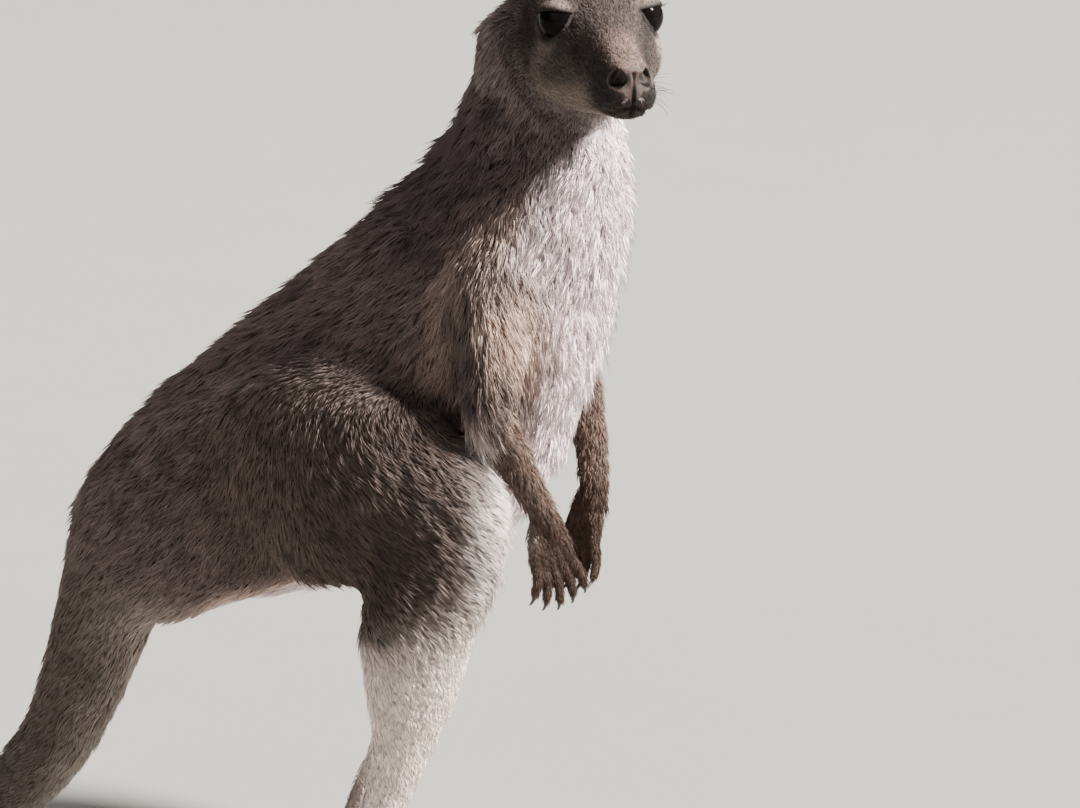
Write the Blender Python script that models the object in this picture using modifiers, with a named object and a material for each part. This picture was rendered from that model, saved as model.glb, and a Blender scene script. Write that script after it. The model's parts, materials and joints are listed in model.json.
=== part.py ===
"""A young red kangaroo standing alert, life size: feet flat, tail laid behind, head turned to its right.

Run with: blender --background --python part.py

The row frame is in metres with +Z up. +X is the way the feet point and +Y is the animal's left.
The flesh is lofted from sections, blended into one body and then parted with thin cuts.
"""
import math

import bmesh
import bpy
from mathutils import Matrix, Vector

# Meshing of the one body before it is parted.
BLEND_VOXEL = 0.006
FINE_VOXEL = 0.0022
BLEND_ROUNDS = 9
FINE_ROUNDS = 3
SOFTEN = 0.5
BODY_TRIANGLES = 3200
SECTION_STEPS = 4
X_AXIS = Vector((1.0, 0.0, 0.0))
Y_AXIS = Vector((0.0, 1.0, 0.0))
Z_AXIS = Vector((0.0, 0.0, 1.0))

# Trunk and neck, from the tail's root to the back of the skull.
# Each section: back point x, z; belly point x, z; half width; shift to the left; turn to the left.
TRUNK = (
    (-0.262, 0.232, -0.168, 0.190, 0.038, 0.000, 0.0),
    (-0.246, 0.300, -0.120, 0.212, 0.056, 0.000, 0.0),
    (-0.194, 0.367, -0.045, 0.228, 0.068, 0.000, 0.0),
    (-0.127, 0.425, 0.035, 0.250, 0.076, 0.000, -2.0),
    (-0.053, 0.489, 0.108, 0.302, 0.075, 0.000, -6.0),
    (-0.010, 0.530, 0.146, 0.385, 0.073, 0.000, -12.0),
    (0.023, 0.561, 0.164, 0.450, 0.072, 0.000, -17.0),
    (0.042, 0.592, 0.175, 0.515, 0.064, 0.000, -20.0),
    (0.053, 0.630, 0.174, 0.572, 0.055, -0.002, -26.0),
    (0.056, 0.670, 0.167, 0.625, 0.048, -0.006, -38.0),
    (0.076, 0.702, 0.160, 0.655, 0.038, -0.014, -52.0),
)

# Tail, from inside the rump to its tip on the floor: x, z, half width, half height.
TAIL = (
    (-0.165, 0.300, 0.050, 0.052),
    (-0.212, 0.236, 0.043, 0.046),
    (-0.240, 0.160, 0.036, 0.038),
    (-0.271, 0.090, 0.031, 0.032),
    (-0.325, 0.040, 0.026, 0.027),
    (-0.400, 0.0215, 0.0215, 0.0225),
    (-0.500, 0.0155, 0.0165, 0.0168),
    (-0.590, 0.0110, 0.0120, 0.0122),
    (-0.640, 0.0075, 0.0080, 0.0082),
)

# Thigh and shank: x, distance out from the middle, z, half depth, half width.
THIGH = (
    (-0.110, 0.042, 0.318, 0.060, 0.026),
    (-0.070, 0.058, 0.330, 0.086, 0.038),
    (0.000, 0.080, 0.330, 0.078, 0.041),
    (0.052, 0.096, 0.324, 0.058, 0.035),
    (0.085, 0.102, 0.314, 0.038, 0.028),
    (0.106, 0.104, 0.309, 0.019, 0.016),
)
SHANK = (
    (0.078, 0.102, 0.330, 0.030, 0.026),
    (0.065, 0.101, 0.294, 0.043, 0.032),
    (0.037, 0.096, 0.240, 0.047, 0.033),
    (0.030, 0.090, 0.185, 0.039, 0.028),
    (0.019, 0.083, 0.125, 0.0235, 0.020),
    (0.000, 0.078, 0.075, 0.0185, 0.0165),
    (-0.012, 0.075, 0.040, 0.0200, 0.0175),
    (-0.018, 0.075, 0.022, 0.0150, 0.0145),
)
# The far leg is set back: nothing at the hip, all of it from the knee down.
FAR_LEG_BACK = 0.030
HIP_X = -0.070
KNEE_X = 0.080

# Foot, along its length: x from the heel's end, z, half height, half width.
FOOT = (
    (0.000, 0.0150, 0.0100, 0.0090),
    (0.010, 0.0205, 0.0200, 0.0155),
    (0.030, 0.0225, 0.0225, 0.0170),
    (0.060, 0.0185, 0.0190, 0.0158),
    (0.110, 0.0150, 0.0155, 0.0172),
    (0.150, 0.0130, 0.0138, 0.0195),
    (0.166, 0.0110, 0.0115, 0.0165),
)
HEEL_X = -0.040
FOOT_OUT = 0.075
# Toes: name, start and end along the foot, offset outward, radius at root and tip, claw length and radius.
TOES = (
    ("toe_4", 0.140, 0.206, 0.0010, 0.0098, 0.0072, 0.026, 0.0040),
    ("toe_5", 0.138, 0.182, 0.0155, 0.0068, 0.0054, 0.019, 0.0030),
    ("toe_3", 0.136, 0.170, -0.0115, 0.0042, 0.0034, 0.010, 0.0017),
    ("toe_2", 0.134, 0.168, -0.0180, 0.0040, 0.0033, 0.010, 0.0017),
)
# How high a toe's middle lies and how small its rounded end is, in its own radii.
TOE_MIDDLE = 0.94
TOE_END = 0.45
# A claw from its root: share of its length, size and lift in its own radii.
CLAW_PROFILE = ((0.0, 1.0, 0.0), (0.41, 0.93, 0.30), (0.75, 0.61, -0.12), (1.0, 0.15, -1.10))
CLAW_SET = 0.34
CLAW_FLAT = 0.88
CLAW_SIDES = 6
CLAW_LIFT = 0.98

# Arms, from inside the shoulder to the wrist: x, y, z, half depth, half width.
NEAR_ARM = (
    (0.078, -0.046, 0.505, 0.040, 0.026),
    (0.086, -0.070, 0.462, 0.031, 0.025),
    (0.090, -0.090, 0.424, 0.024, 0.020),
    (0.086, -0.100, 0.399, 0.0185, 0.0175),
    (0.095, -0.089, 0.367, 0.0170, 0.0155),
    (0.112, -0.067, 0.328, 0.0142, 0.0135),
    (0.124, -0.054, 0.300, 0.0118, 0.0122),
    (0.129, -0.050, 0.286, 0.0108, 0.0135),
)
FAR_ARM = (
    (0.118, 0.046, 0.505, 0.040, 0.026),
    (0.122, 0.066, 0.462, 0.030, 0.024),
    (0.117, 0.085, 0.424, 0.022, 0.019),
    (0.108, 0.094, 0.395, 0.0175, 0.0170),
    (0.119, 0.085, 0.358, 0.0160, 0.0150),
    (0.133, 0.064, 0.320, 0.0132, 0.0128),
    (0.137, 0.050, 0.291, 0.0112, 0.0118),
    (0.135, 0.046, 0.277, 0.0105, 0.0130),
)
# Which way each hand hangs from its wrist, and how far the back of the hand faces forward and out.
NEAR_HAND_ALONG = (0.10, 0.02, -1.0)
FAR_HAND_ALONG = (-0.24, -0.10, -1.0)
HAND_FACES = (0.55, 0.83)
# Palm: its length and half sizes, then share of the length, thickness and width along it.
PALM_LENGTH = 0.024
PALM_HALF_WIDTH = 0.0155
PALM_HALF_THICK = 0.0085
PALM = ((-0.25, 1.15, 0.80), (0.35, 1.00, 0.98), (0.80, 0.85, 1.06), (1.05, 0.45, 0.85))
# Fingers: lengths, the shares of their three bones, radii from root to tip, spread, fan and curl.
FINGER_LENGTHS = (0.017, 0.023, 0.026, 0.024, 0.018)
FINGER_SHARES = (0.36, 0.34, 0.30)
FINGER_RADII = (0.0044, 0.0042, 0.0034, 0.0025)
FINGER_INSET = 0.006
FINGER_SPREAD = 0.0074
FINGER_FAN = 7.0
FINGER_CURL = 26.0
FINGER_CLAW = 0.013
FINGER_CLAW_RADIUS = 0.0018
FINGER_CLAW_CURL = 8.0

# Head, in its own frame: the origin lies midway between the eyes and +x points along the face.
HEAD_AT = (0.164, -0.062, 0.674)
HEAD_TURN = -64.0
HEAD_NOD = 2.0
# Sections from the back of the skull to the nose: x, top z, bottom z, half width.
HEAD = (
    (-0.074, 0.014, -0.026, 0.020),
    (-0.066, 0.024, -0.044, 0.032),
    (-0.050, 0.033, -0.058, 0.040),
    (-0.030, 0.036, -0.067, 0.044),
    (-0.010, 0.030, -0.070, 0.041),
    (0.010, 0.018, -0.068, 0.035),
    (0.030, 0.007, -0.063, 0.0285),
    (0.055, -0.004, -0.060, 0.0225),
    (0.074, -0.011, -0.058, 0.0200),
    (0.084, -0.014, -0.051, 0.0168),
    (0.090, -0.018, -0.039, 0.0110),
)
BROW_AT = (-0.006, 0.0235, 0.0105)
BROW_SIZE = (0.0200, 0.0125, 0.0100)
CHEEK_AT = (-0.020, 0.030, -0.034)
CHEEK_SIZE = (0.030, 0.016, 0.026)
EYE_AT = (-0.0020, 0.0285, -0.0005)
EYE_RADIUS = 0.0135
EYE_SIDES = 14
EYE_RINGS = 8
POLL_AT = (-0.058, -0.016, 0.000)
POLL_SIZE = (0.034, 0.042, 0.034)
EAR_ROOT = (-0.046, 0.026, 0.024)
EAR_LENGTH = 0.104
EAR_HALF_WIDTH = 0.0225
EAR_THICK = 0.0042
EAR_LEAN_OUT = 17.0
EAR_LEAN_BACK = 9.0
EAR_FACE_OUT = 32.0
EAR_CUP = 66.0
# An ear's root is rolled up more and is narrower; from its widest place it draws in to a thin tip.
EAR_ROLL = 55.0
EAR_ROOT_SHARE = 0.55
EAR_WIDEST = 0.55
EAR_THIN = 0.45
EAR_BOW = 0.008
EAR_ROWS = 15
EAR_POINTS = 11

# Colours: linear red, green, blue, then roughness.
GREY_COAT = (0.165, 0.125, 0.095, 0.95)
TAN_COAT = (0.300, 0.205, 0.140, 0.95)
WHITE_COAT = (0.560, 0.500, 0.420, 0.95)
DARK_COAT = (0.060, 0.042, 0.032, 0.90)
FACE_COAT = (0.260, 0.190, 0.145, 0.92)
BUFF_COAT = (0.360, 0.270, 0.200, 0.95)
HORN = (0.022, 0.018, 0.016, 0.45)
EYEBALL = (0.012, 0.008, 0.006, 0.08)

LOOKS = {
    "grey_coat": GREY_COAT,
    "tan_coat": TAN_COAT,
    "white_coat": WHITE_COAT,
    "dark_coat": DARK_COAT,
    "face_coat": FACE_COAT,
    "buff_coat": BUFF_COAT,
    "claw_horn": HORN,
    "eye_gloss": EYEBALL,
}

# Which material each piece has, by how its name starts; the rest is grey coat.
SLOTS = (
    ("claw", "claw_horn"),
    ("eye", "eye_gloss"),
    ("head", "face_coat"),
    ("ear", "face_coat"),
    ("chest", "white_coat"),
    ("hand", "dark_coat"),
    ("foot", "dark_coat"),
    ("forearm", "tan_coat"),
    ("upper_arm", "tan_coat"),
    ("shank", "buff_coat"),
)

# Partings and clearances. A drum is x, z, half sizes, tilt in degrees and distance out of its inner face.
CUT_GAP = 0.0003
SOCKET_GAP = 0.00015
FLOOR_TRIM = 0.0015
FLOOR_REACH = 1.6
SHIN_UP = 0.1
THIGH_REGION = (-0.012, 0.318, 0.136, 0.100, 6.0, 0.048)
NEAR_ARM_REGION = (0.086, 0.440, 0.042, 0.066, 0.0, 0.054)
FAR_ARM_REGION = (0.119, 0.440, 0.040, 0.066, 0.0, 0.050)
DRUM_SIDES = 28
DRUM_REACH = 0.180
ANKLE = (-0.009, 0.076, 0.052)
ANKLE_NORMAL = (-0.25, 0.0, -1.0)
ANKLE_CUT = 0.034
TAIL_CUT_ROWS = (1, 3, 5, 6)
TAIL_CUT_SPAN = 1.9
ELBOW_ROW = 4
WRIST_CUT = 0.020
HEAD_CUT_AT = (-0.050, 0.0, -0.032)
HEAD_CUT_NORMAL = (0.857, 0.0, 0.514)
HEAD_CUT = 0.112
EAR_CUT_UP = 0.018
EAR_CUT = 0.026
NECK_ROW = 8
CHEST_ROW = 5
BELLY_ROW = 3
TRUNK_CUT = 0.190
WELD_DISTANCE = 0.000002
SHARP_ANGLE = 40.0

RIGHT = -1.0
LEFT = 1.0
# Each leg with how far it is set back, and each arm with its shoulder's region.
SIDES = ((RIGHT, 0.0), (LEFT, FAR_LEG_BACK))
ARMS = ((NEAR_ARM, RIGHT, NEAR_ARM_REGION), (FAR_ARM, LEFT, FAR_ARM_REGION))


def clear_scene():
    for item in list(bpy.data.objects):
        bpy.data.objects.remove(item, do_unlink=True)
    for mesh in list(bpy.data.meshes):
        bpy.data.meshes.remove(mesh)


def new_collection(name):
    group = bpy.data.collections.new(name)
    bpy.context.scene.collection.children.link(group)
    return group


def add_object(name, mesh, group):
    item = bpy.data.objects.new(name, mesh)
    group.objects.link(item)
    return item


def side_name(hand):
    return "l" if hand == LEFT else "r"


def smooth_rows(rows, steps):
    """Rows of numbers along a Catmull-Rom curve, with `steps` rows for each span."""
    out = []
    last = len(rows) - 1
    for i in range(last):
        p0 = rows[max(i - 1, 0)]
        p1 = rows[i]
        p2 = rows[i + 1]
        p3 = rows[min(i + 2, last)]
        for k in range(steps):
            t = k / steps
            out.append(tuple(
                0.5 * (2 * b + (c - a) * t + (2 * a - 5 * b + 4 * c - d) * t * t
                       + (3 * b - a - 3 * c + d) * t ** 3)
                for a, b, c, d in zip(p0, p1, p2, p3)))
    out.append(tuple(rows[last]))
    return out


def ring(centre, side, up, count):
    return [centre + side * math.cos(2 * math.pi * k / count) + up * math.sin(2 * math.pi * k / count)
            for k in range(count)]


def loft(rings):
    """A closed mesh through rings of equal count, with its ends capped."""
    bm = bmesh.new()
    rows = [[bm.verts.new(point) for point in points] for points in rings]
    count = len(rows[0])
    for lower, upper in zip(rows, rows[1:]):
        for k in range(count):
            n = (k + 1) % count
            bm.faces.new((lower[k], lower[n], upper[n], upper[k]))
    bm.faces.new(rows[0])
    bm.faces.new(rows[-1])
    bmesh.ops.recalc_face_normals(bm, faces=bm.faces)
    mesh = bpy.data.meshes.new("form")
    bm.to_mesh(mesh)
    bm.free()
    return mesh


def sweep(rows, across=Y_AXIS, count=24, steps=SECTION_STEPS):
    """A limb along a curve: each row is x, y, z, half depth, half width; `across` is its side."""
    rows = smooth_rows(rows, steps)
    points = [Vector(row[:3]) for row in rows]
    rings = []
    for i, row in enumerate(rows):
        along = (points[min(i + 1, len(rows) - 1)] - points[max(i - 1, 0)]).normalized()
        up = along.cross(across).normalized()
        side = up.cross(along).normalized()
        rings.append(ring(points[i], side * row[4], up * row[3], count))
    return loft(rings)


def ellipsoid(centre, size, segments=28, rings=18):
    bm = bmesh.new()
    bmesh.ops.create_uvsphere(bm, u_segments=segments, v_segments=rings, radius=1.0)
    bmesh.ops.transform(bm, matrix=Matrix.LocRotScale(Vector(centre), None, Vector(size)), verts=bm.verts)
    mesh = bpy.data.meshes.new("form")
    bm.to_mesh(mesh)
    bm.free()
    return mesh


def join_meshes(name, meshes, group):
    bm = bmesh.new()
    for mesh in meshes:
        bm.from_mesh(mesh)
    joined = bpy.data.meshes.new(name)
    bm.to_mesh(joined)
    bm.free()
    return add_object(name, joined, group)


def bake(item):
    """The object's evaluated mesh put in place of its modifiers."""
    depsgraph = bpy.context.evaluated_depsgraph_get()
    mesh = bpy.data.meshes.new_from_object(item.evaluated_get(depsgraph))
    item.modifiers.clear()
    item.data = mesh
    return item


def blend(item, voxel, rounds):
    remesh = item.modifiers.new("blend", "REMESH")
    remesh.mode = "VOXEL"
    remesh.voxel_size = voxel
    soften = item.modifiers.new("soften", "SMOOTH")
    soften.factor = SOFTEN
    soften.iterations = rounds
    return bake(item)


def reduce_to(item, triangles):
    item.data.calc_loop_triangles()
    fewer = item.modifiers.new("reduce", "DECIMATE")
    fewer.ratio = triangles / len(item.data.loop_triangles)
    return bake(item)


def combine(item, cutter, operation):
    boolean = item.modifiers.new("cut", "BOOLEAN")
    boolean.operation = operation
    boolean.solver = "EXACT"
    boolean.object = cutter
    bake(item)
    tidy(item.data)
    return item


def tidy(mesh):
    """Weld what a cut left doubled, and take out faces with no area."""
    bm = bmesh.new()
    bm.from_mesh(mesh)
    bmesh.ops.remove_doubles(bm, verts=bm.verts, dist=WELD_DISTANCE)
    bmesh.ops.dissolve_degenerate(bm, edges=bm.edges, dist=WELD_DISTANCE)
    bmesh.ops.triangulate(bm, faces=bm.faces)
    bmesh.ops.recalc_face_normals(bm, faces=bm.faces)
    bm.to_mesh(mesh)
    bm.free()


def split_loose(item, group):
    """The object's separate bodies as objects of their own, largest first."""
    bm = bmesh.new()
    bm.from_mesh(item.data)
    bm.faces.ensure_lookup_table()
    left = set(bm.faces)
    shells = []
    while left:
        seed = left.pop()
        shell = {seed}
        queue = [seed]
        while queue:
            face = queue.pop()
            for edge in face.edges:
                for other in edge.link_faces:
                    if other in left:
                        left.remove(other)
                        shell.add(other)
                        queue.append(other)
        shells.append(sorted(face.index for face in shell))
    bm.free()
    out = []
    for number, faces in enumerate(sorted(shells, key=len, reverse=True)):
        points = {}
        polygons = []
        for index in faces:
            polygons.append([points.setdefault(v, len(points)) for v in item.data.polygons[index].vertices])
        mesh = bpy.data.meshes.new("%s_%d" % (item.name, number))
        mesh.from_pydata([item.data.vertices[v].co.copy() for v in points], [], polygons)
        out.append(add_object(mesh.name, mesh, group))
    bpy.data.objects.remove(item, do_unlink=True)
    return out


def keep_largest(item, group):
    """The object's largest body; crumbs that a socket left are dropped."""
    pieces = split_loose(item, group)
    for crumb in pieces[1:]:
        bpy.data.objects.remove(crumb, do_unlink=True)
    return pieces[0]


# ---------------------------------------------------------------- the body's forms
def trunk_form():
    rings = []
    for row in smooth_rows(TRUNK, SECTION_STEPS):
        back = Vector((row[0], 0.0, row[1]))
        belly = Vector((row[2], 0.0, row[3]))
        turn = Matrix.Rotation(math.radians(row[6]), 3, "Z")
        up = turn @ ((back - belly) / 2)
        side = turn @ (Y_AXIS * row[4])
        rings.append(ring((back + belly) / 2 + Y_AXIS * row[5], side, up, 28))
    return loft(rings)


def tail_form():
    return sweep([(x, 0.0, z, height, width) for x, z, width, height in TAIL])


def thigh_form(hand, back):
    """The hip stays with the pelvis, and the set back grows towards the knee."""
    rows = []
    for x, out, z, depth, width in THIGH:
        share = min(max((x - HIP_X) / (KNEE_X - HIP_X), 0.0), 1.0)
        rows.append((x - back * share, hand * out, z, depth, width))
    return sweep(rows)


def shank_form(hand, back):
    return sweep([(x - back, hand * out, z, depth, width) for x, out, z, depth, width in SHANK])


def foot_form(hand, back):
    rings = []
    for x, z, height, width in smooth_rows(FOOT, SECTION_STEPS):
        centre = Vector((HEEL_X - back + x, hand * FOOT_OUT, z - FLOOR_TRIM))
        rings.append(ring(centre, Y_AXIS * width, Z_AXIS * height, 20))
    return loft(rings)


def toe_form(hand, back, toe):
    name, start, end, out, root, tip, claw, claw_radius = toe
    y = hand * (FOOT_OUT + out)
    heel = HEEL_X - back
    sink = FLOOR_TRIM / 2
    rows = (
        (heel + start, y, root * TOE_MIDDLE - sink, root, root),
        (heel + (start + end) / 2, y, root * TOE_MIDDLE - sink, (root + tip) / 2, (root + tip) / 2),
        (heel + end - tip, y, tip * TOE_MIDDLE - sink, tip, tip),
        (heel + end, y, tip * TOE_MIDDLE - sink, tip * TOE_END, tip * TOE_END),
    )
    return sweep(rows, count=14)


def claw_form(tip, along, up, length, radius, grow):
    """A claw set into the end of its toe or finger; `grow` makes it the cutter of its socket."""
    start = tip - along * (length * CLAW_SET)
    rows = []
    for share, size, lift in CLAW_PROFILE:
        point = start + along * (length * share + grow * (2 * share - 1)) + up * (radius * lift)
        rows.append((*point, radius * size + grow, radius * size * CLAW_FLAT + grow))
    return sweep(rows, across=up.cross(along).normalized(), count=CLAW_SIDES, steps=1)


def toe_claw(hand, back, toe, grow):
    name, start, end, out, root, tip, length, radius = toe
    spot = Vector((HEEL_X - back + end, hand * (FOOT_OUT + out), tip * CLAW_LIFT))
    return claw_form(spot, X_AXIS, Z_AXIS, length, radius, grow)


def hand_frame(arm):
    """The wrist, then the ways along the hand, across it and out of its back."""
    hand = LEFT if arm is FAR_ARM else RIGHT
    along = Vector(FAR_HAND_ALONG if arm is FAR_ARM else NEAR_HAND_ALONG).normalized()
    out = Vector((HAND_FACES[0], hand * HAND_FACES[1], 0.0))
    back = (out - along * out.dot(along)).normalized()
    return Vector(arm[-1][:3]), along, along.cross(back).normalized(), back


def finger_line(arm, number):
    """One finger's points from its root in the palm to its tip, and the way its claw points."""
    wrist, along, across, back = hand_frame(arm)
    offset = number - len(FINGER_LENGTHS) // 2
    fan = math.radians(FINGER_FAN * offset)
    heading = (along * math.cos(fan) + across * math.sin(fan)).normalized()
    points = [wrist + along * (PALM_LENGTH - FINGER_INSET) + across * (FINGER_SPREAD * offset)]
    inset = FINGER_INSET
    angle = 0.0
    for share in FINGER_SHARES:
        angle += math.radians(FINGER_CURL / len(FINGER_SHARES))
        step = heading * math.cos(angle) - back * math.sin(angle)
        points.append(points[-1] + step * (FINGER_LENGTHS[number] * share + inset))
        inset = 0.0
    angle += math.radians(FINGER_CLAW_CURL)
    return points, heading * math.cos(angle) - back * math.sin(angle)


def hand_forms(arm):
    wrist, along, across, back = hand_frame(arm)
    rows = [(*(wrist + along * (PALM_LENGTH * share)), PALM_HALF_THICK * thick, PALM_HALF_WIDTH * wide)
            for share, thick, wide in PALM]
    forms = [sweep(rows, across, count=18)]
    for number in range(len(FINGER_LENGTHS)):
        points, claw = finger_line(arm, number)
        rows = [(*point, radius, radius) for point, radius in zip(points, FINGER_RADII)]
        forms.append(sweep(rows, across, count=12))
    return forms


def finger_claw(arm, number, grow):
    points, claw = finger_line(arm, number)
    back = hand_frame(arm)[3]
    up = (back - claw * back.dot(claw)).normalized()
    return claw_form(points[-1], claw, up, FINGER_CLAW, FINGER_CLAW_RADIUS, grow)


def head_matrix():
    turn = Matrix.Rotation(math.radians(HEAD_TURN), 4, "Z")
    nod = Matrix.Rotation(math.radians(HEAD_NOD), 4, "Y")
    return Matrix.Translation(HEAD_AT) @ turn @ nod


def ear_root(hand):
    return Vector((EAR_ROOT[0], hand * EAR_ROOT[1], EAR_ROOT[2]))


def ear_turn(hand):
    lean = Matrix.Rotation(math.radians(-hand * EAR_LEAN_OUT), 3, "X")
    back = Matrix.Rotation(math.radians(-EAR_LEAN_BACK), 3, "Y")
    face = Matrix.Rotation(math.radians(hand * EAR_FACE_OUT), 3, "Z")
    return lean @ back @ face


def ear_half_width(t):
    """Half the ear's width at the share t of its length: it swells from the root, then rounds to its tip."""
    swell = math.sin(math.pi / 2 * min(t * 1.25 + 0.08, 1.0)) ** 1.2
    draw_in = max(t - EAR_WIDEST, 0.0) / (1.0 - EAR_WIDEST)
    full = EAR_HALF_WIDTH * (EAR_ROOT_SHARE + (1 - EAR_ROOT_SHARE) * swell)
    return full * math.sqrt(max(1.0 - draw_in ** 2, 0.02))


def ear_form(hand):
    """A cupped leaf: its section is an arc with thickness, rolled up towards the root."""
    turn = ear_turn(hand)
    rings = []
    for row in range(EAR_ROWS):
        t = row / (EAR_ROWS - 1)
        cup = math.radians(EAR_CUP + EAR_ROLL * (1 - t) ** 2)
        thick = EAR_THICK * (1.0 - EAR_THIN * t)
        radius = ear_half_width(t) / math.sin(min(cup, math.pi / 2))
        bow = EAR_BOW * math.sin(math.pi * t) + radius * math.cos(cup)
        outer = []
        inner = []
        for k in range(EAR_POINTS):
            angle = cup * (2 * k / (EAR_POINTS - 1) - 1)
            for side, size in ((outer, radius + thick / 2), (inner, radius - thick / 2)):
                spot = Vector((bow - size * math.cos(angle), size * math.sin(angle), EAR_LENGTH * t))
                side.append(ear_root(hand) + turn @ spot)
        rings.append(outer + inner[::-1])
    return loft(rings)


def skull_form():
    rings = []
    for x, top, bottom, width in smooth_rows(HEAD, SECTION_STEPS):
        centre = Vector((x, 0.0, (top + bottom) / 2))
        rings.append(ring(centre, Y_AXIS * width, Z_AXIS * ((top - bottom) / 2), 26))
    return loft(rings)


def neck_joint_forms():
    """The skull and the poll behind it, blended with the neck before the face is added."""
    forms = [skull_form(), ellipsoid(POLL_AT, POLL_SIZE)]
    for mesh in forms:
        mesh.transform(head_matrix())
    return forms


def face_forms():
    forms = [skull_form()]
    for hand in (RIGHT, LEFT):
        for at, size in ((BROW_AT, BROW_SIZE), (CHEEK_AT, CHEEK_SIZE)):
            forms.append(ellipsoid((at[0], hand * at[1], at[2]), size))
        forms.append(ear_form(hand))
    for mesh in forms:
        mesh.transform(head_matrix())
    return forms


def build_body(cutters):
    """The whole animal as one closed body, flat where it touches the floor."""
    masses = [trunk_form(), tail_form()] + neck_joint_forms()
    details = face_forms()
    for hand, back in SIDES:
        masses += [thigh_form(hand, back), shank_form(hand, back), foot_form(hand, back)]
        details += [toe_form(hand, back, toe) for toe in TOES]
    for arm in (NEAR_ARM, FAR_ARM):
        masses.append(sweep(arm[:ELBOW_ROW], count=20))
        details += [sweep(arm, count=20)] + hand_forms(arm)
    body = join_meshes("masses", masses, cutters)
    blend(body, BLEND_VOXEL, BLEND_ROUNDS)
    whole = join_meshes("whole", [body.data] + details, cutters)
    bpy.data.objects.remove(body, do_unlink=True)
    blend(whole, FINE_VOXEL, FINE_ROUNDS)
    reduce_to(whole, BODY_TRIANGLES)
    tidy(whole.data)
    whole = keep_largest(whole, cutters)
    combine(whole, floor_box(cutters), "DIFFERENCE")
    return whole


# ---------------------------------------------------------------- cutters and partings
def slab(name, centre, normal, radius, group):
    """A thin disc that parts a limb at `centre` across `normal`."""
    bm = bmesh.new()
    bmesh.ops.create_cone(bm, cap_ends=True, segments=24, radius1=radius, radius2=radius, depth=CUT_GAP)
    turn = Vector(normal).normalized().to_track_quat("Z", "Y").to_matrix().to_4x4()
    bmesh.ops.transform(bm, matrix=Matrix.Translation(centre) @ turn, verts=bm.verts)
    mesh = bpy.data.meshes.new(name)
    bm.to_mesh(mesh)
    bm.free()
    return add_object(name, mesh, group)


def drum(name, region, hand, back, shrink, group):
    """An oval drum lying across the body, from its inner face out past the coat."""
    x, z, half_x, half_z, tilt, inner = region
    turn = Matrix.Rotation(math.radians(tilt), 3, "Y")
    side = turn @ (X_AXIS * (half_x - shrink))
    up = turn @ (Z_AXIS * (half_z - shrink))
    ends = [Vector((x - back, hand * out, z)) for out in (inner + shrink, DRUM_REACH)]
    return add_object(name, loft([ring(end, side, up, DRUM_SIDES) for end in ends]), group)


def floor_box(group):
    bm = bmesh.new()
    bmesh.ops.create_cube(bm, size=FLOOR_REACH)
    bmesh.ops.translate(bm, vec=(0.0, 0.0, -FLOOR_REACH / 2), verts=bm.verts)
    mesh = bpy.data.meshes.new("floor_cutter")
    bm.to_mesh(mesh)
    bm.free()
    return add_object("floor_cutter", mesh, group)


def carve(item, name, region, hand, back, cutters):
    """Part the object by a drum: what lies inside it, and what lies outside."""
    inside = add_object(item.name + "_inside", item.data.copy(), cutters)
    combine(inside, drum(name + "_inner", region, hand, back, CUT_GAP, cutters), "INTERSECT")
    combine(item, drum(name + "_outer", region, hand, back, 0.0, cutters), "DIFFERENCE")
    return keep_largest(inside, cutters), item


def take(pieces, spot):
    """The piece whose surface comes nearest to a spot, taken from the list."""
    def distance(piece):
        return min((vertex.co - Vector(spot)).length for vertex in piece.data.vertices)
    best = min(pieces, key=distance)
    pieces.remove(best)
    return best


def part_across(item, name, centre, normal, radius, front_spot, cutters):
    """Part an object with a slab: the piece by `front_spot`, then the other."""
    combine(item, slab(name, centre, normal, radius, cutters), "DIFFERENCE")
    pieces = split_loose(item, cutters)
    first = take(pieces, front_spot)
    return first, pieces[0]


def part_legs(whole, nodes, cutters):
    """The thigh lies in an oval drum, and what is left below it is the shank and foot."""
    for hand, back in SIDES:
        side = side_name(hand)
        thigh, whole = carve(whole, "thigh_drum_" + side, THIGH_REGION, hand, back / 2, cutters)
        nodes["thigh_" + side] = thigh
    pieces = split_loose(whole, cutters)
    for hand, back in SIDES:
        side = side_name(hand)
        ankle = Vector((ANKLE[0] - back, hand * ANKLE[1], ANKLE[2]))
        leg = take(pieces, ankle)
        shin = ankle + Z_AXIS * SHIN_UP
        nodes["shank_" + side], nodes["foot_" + side] = part_across(
            leg, "ankle_cut_" + side, ankle, ANKLE_NORMAL, ANKLE_CUT, shin, cutters)
    return pieces[0]


def part_tail(rest, nodes, cutters):
    """The tail's lengths, from the root to the tip; the trunk is given back."""
    spots = [Vector((x, 0.0, z)) for x, z, width, height in TAIL]
    trunk = None
    for number, row in enumerate(TAIL_CUT_ROWS):
        ahead, at, behind = spots[row - 1:row + 2]
        before, rest = part_across(rest, "tail_cut_%d" % (number + 1), at, behind - ahead,
                                   TAIL[row][3] * TAIL_CUT_SPAN, ahead, cutters)
        if trunk is None:
            trunk = before
        else:
            nodes["tail_%d" % number] = before
    nodes["tail_%d" % len(TAIL_CUT_ROWS)] = rest
    return trunk


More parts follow.
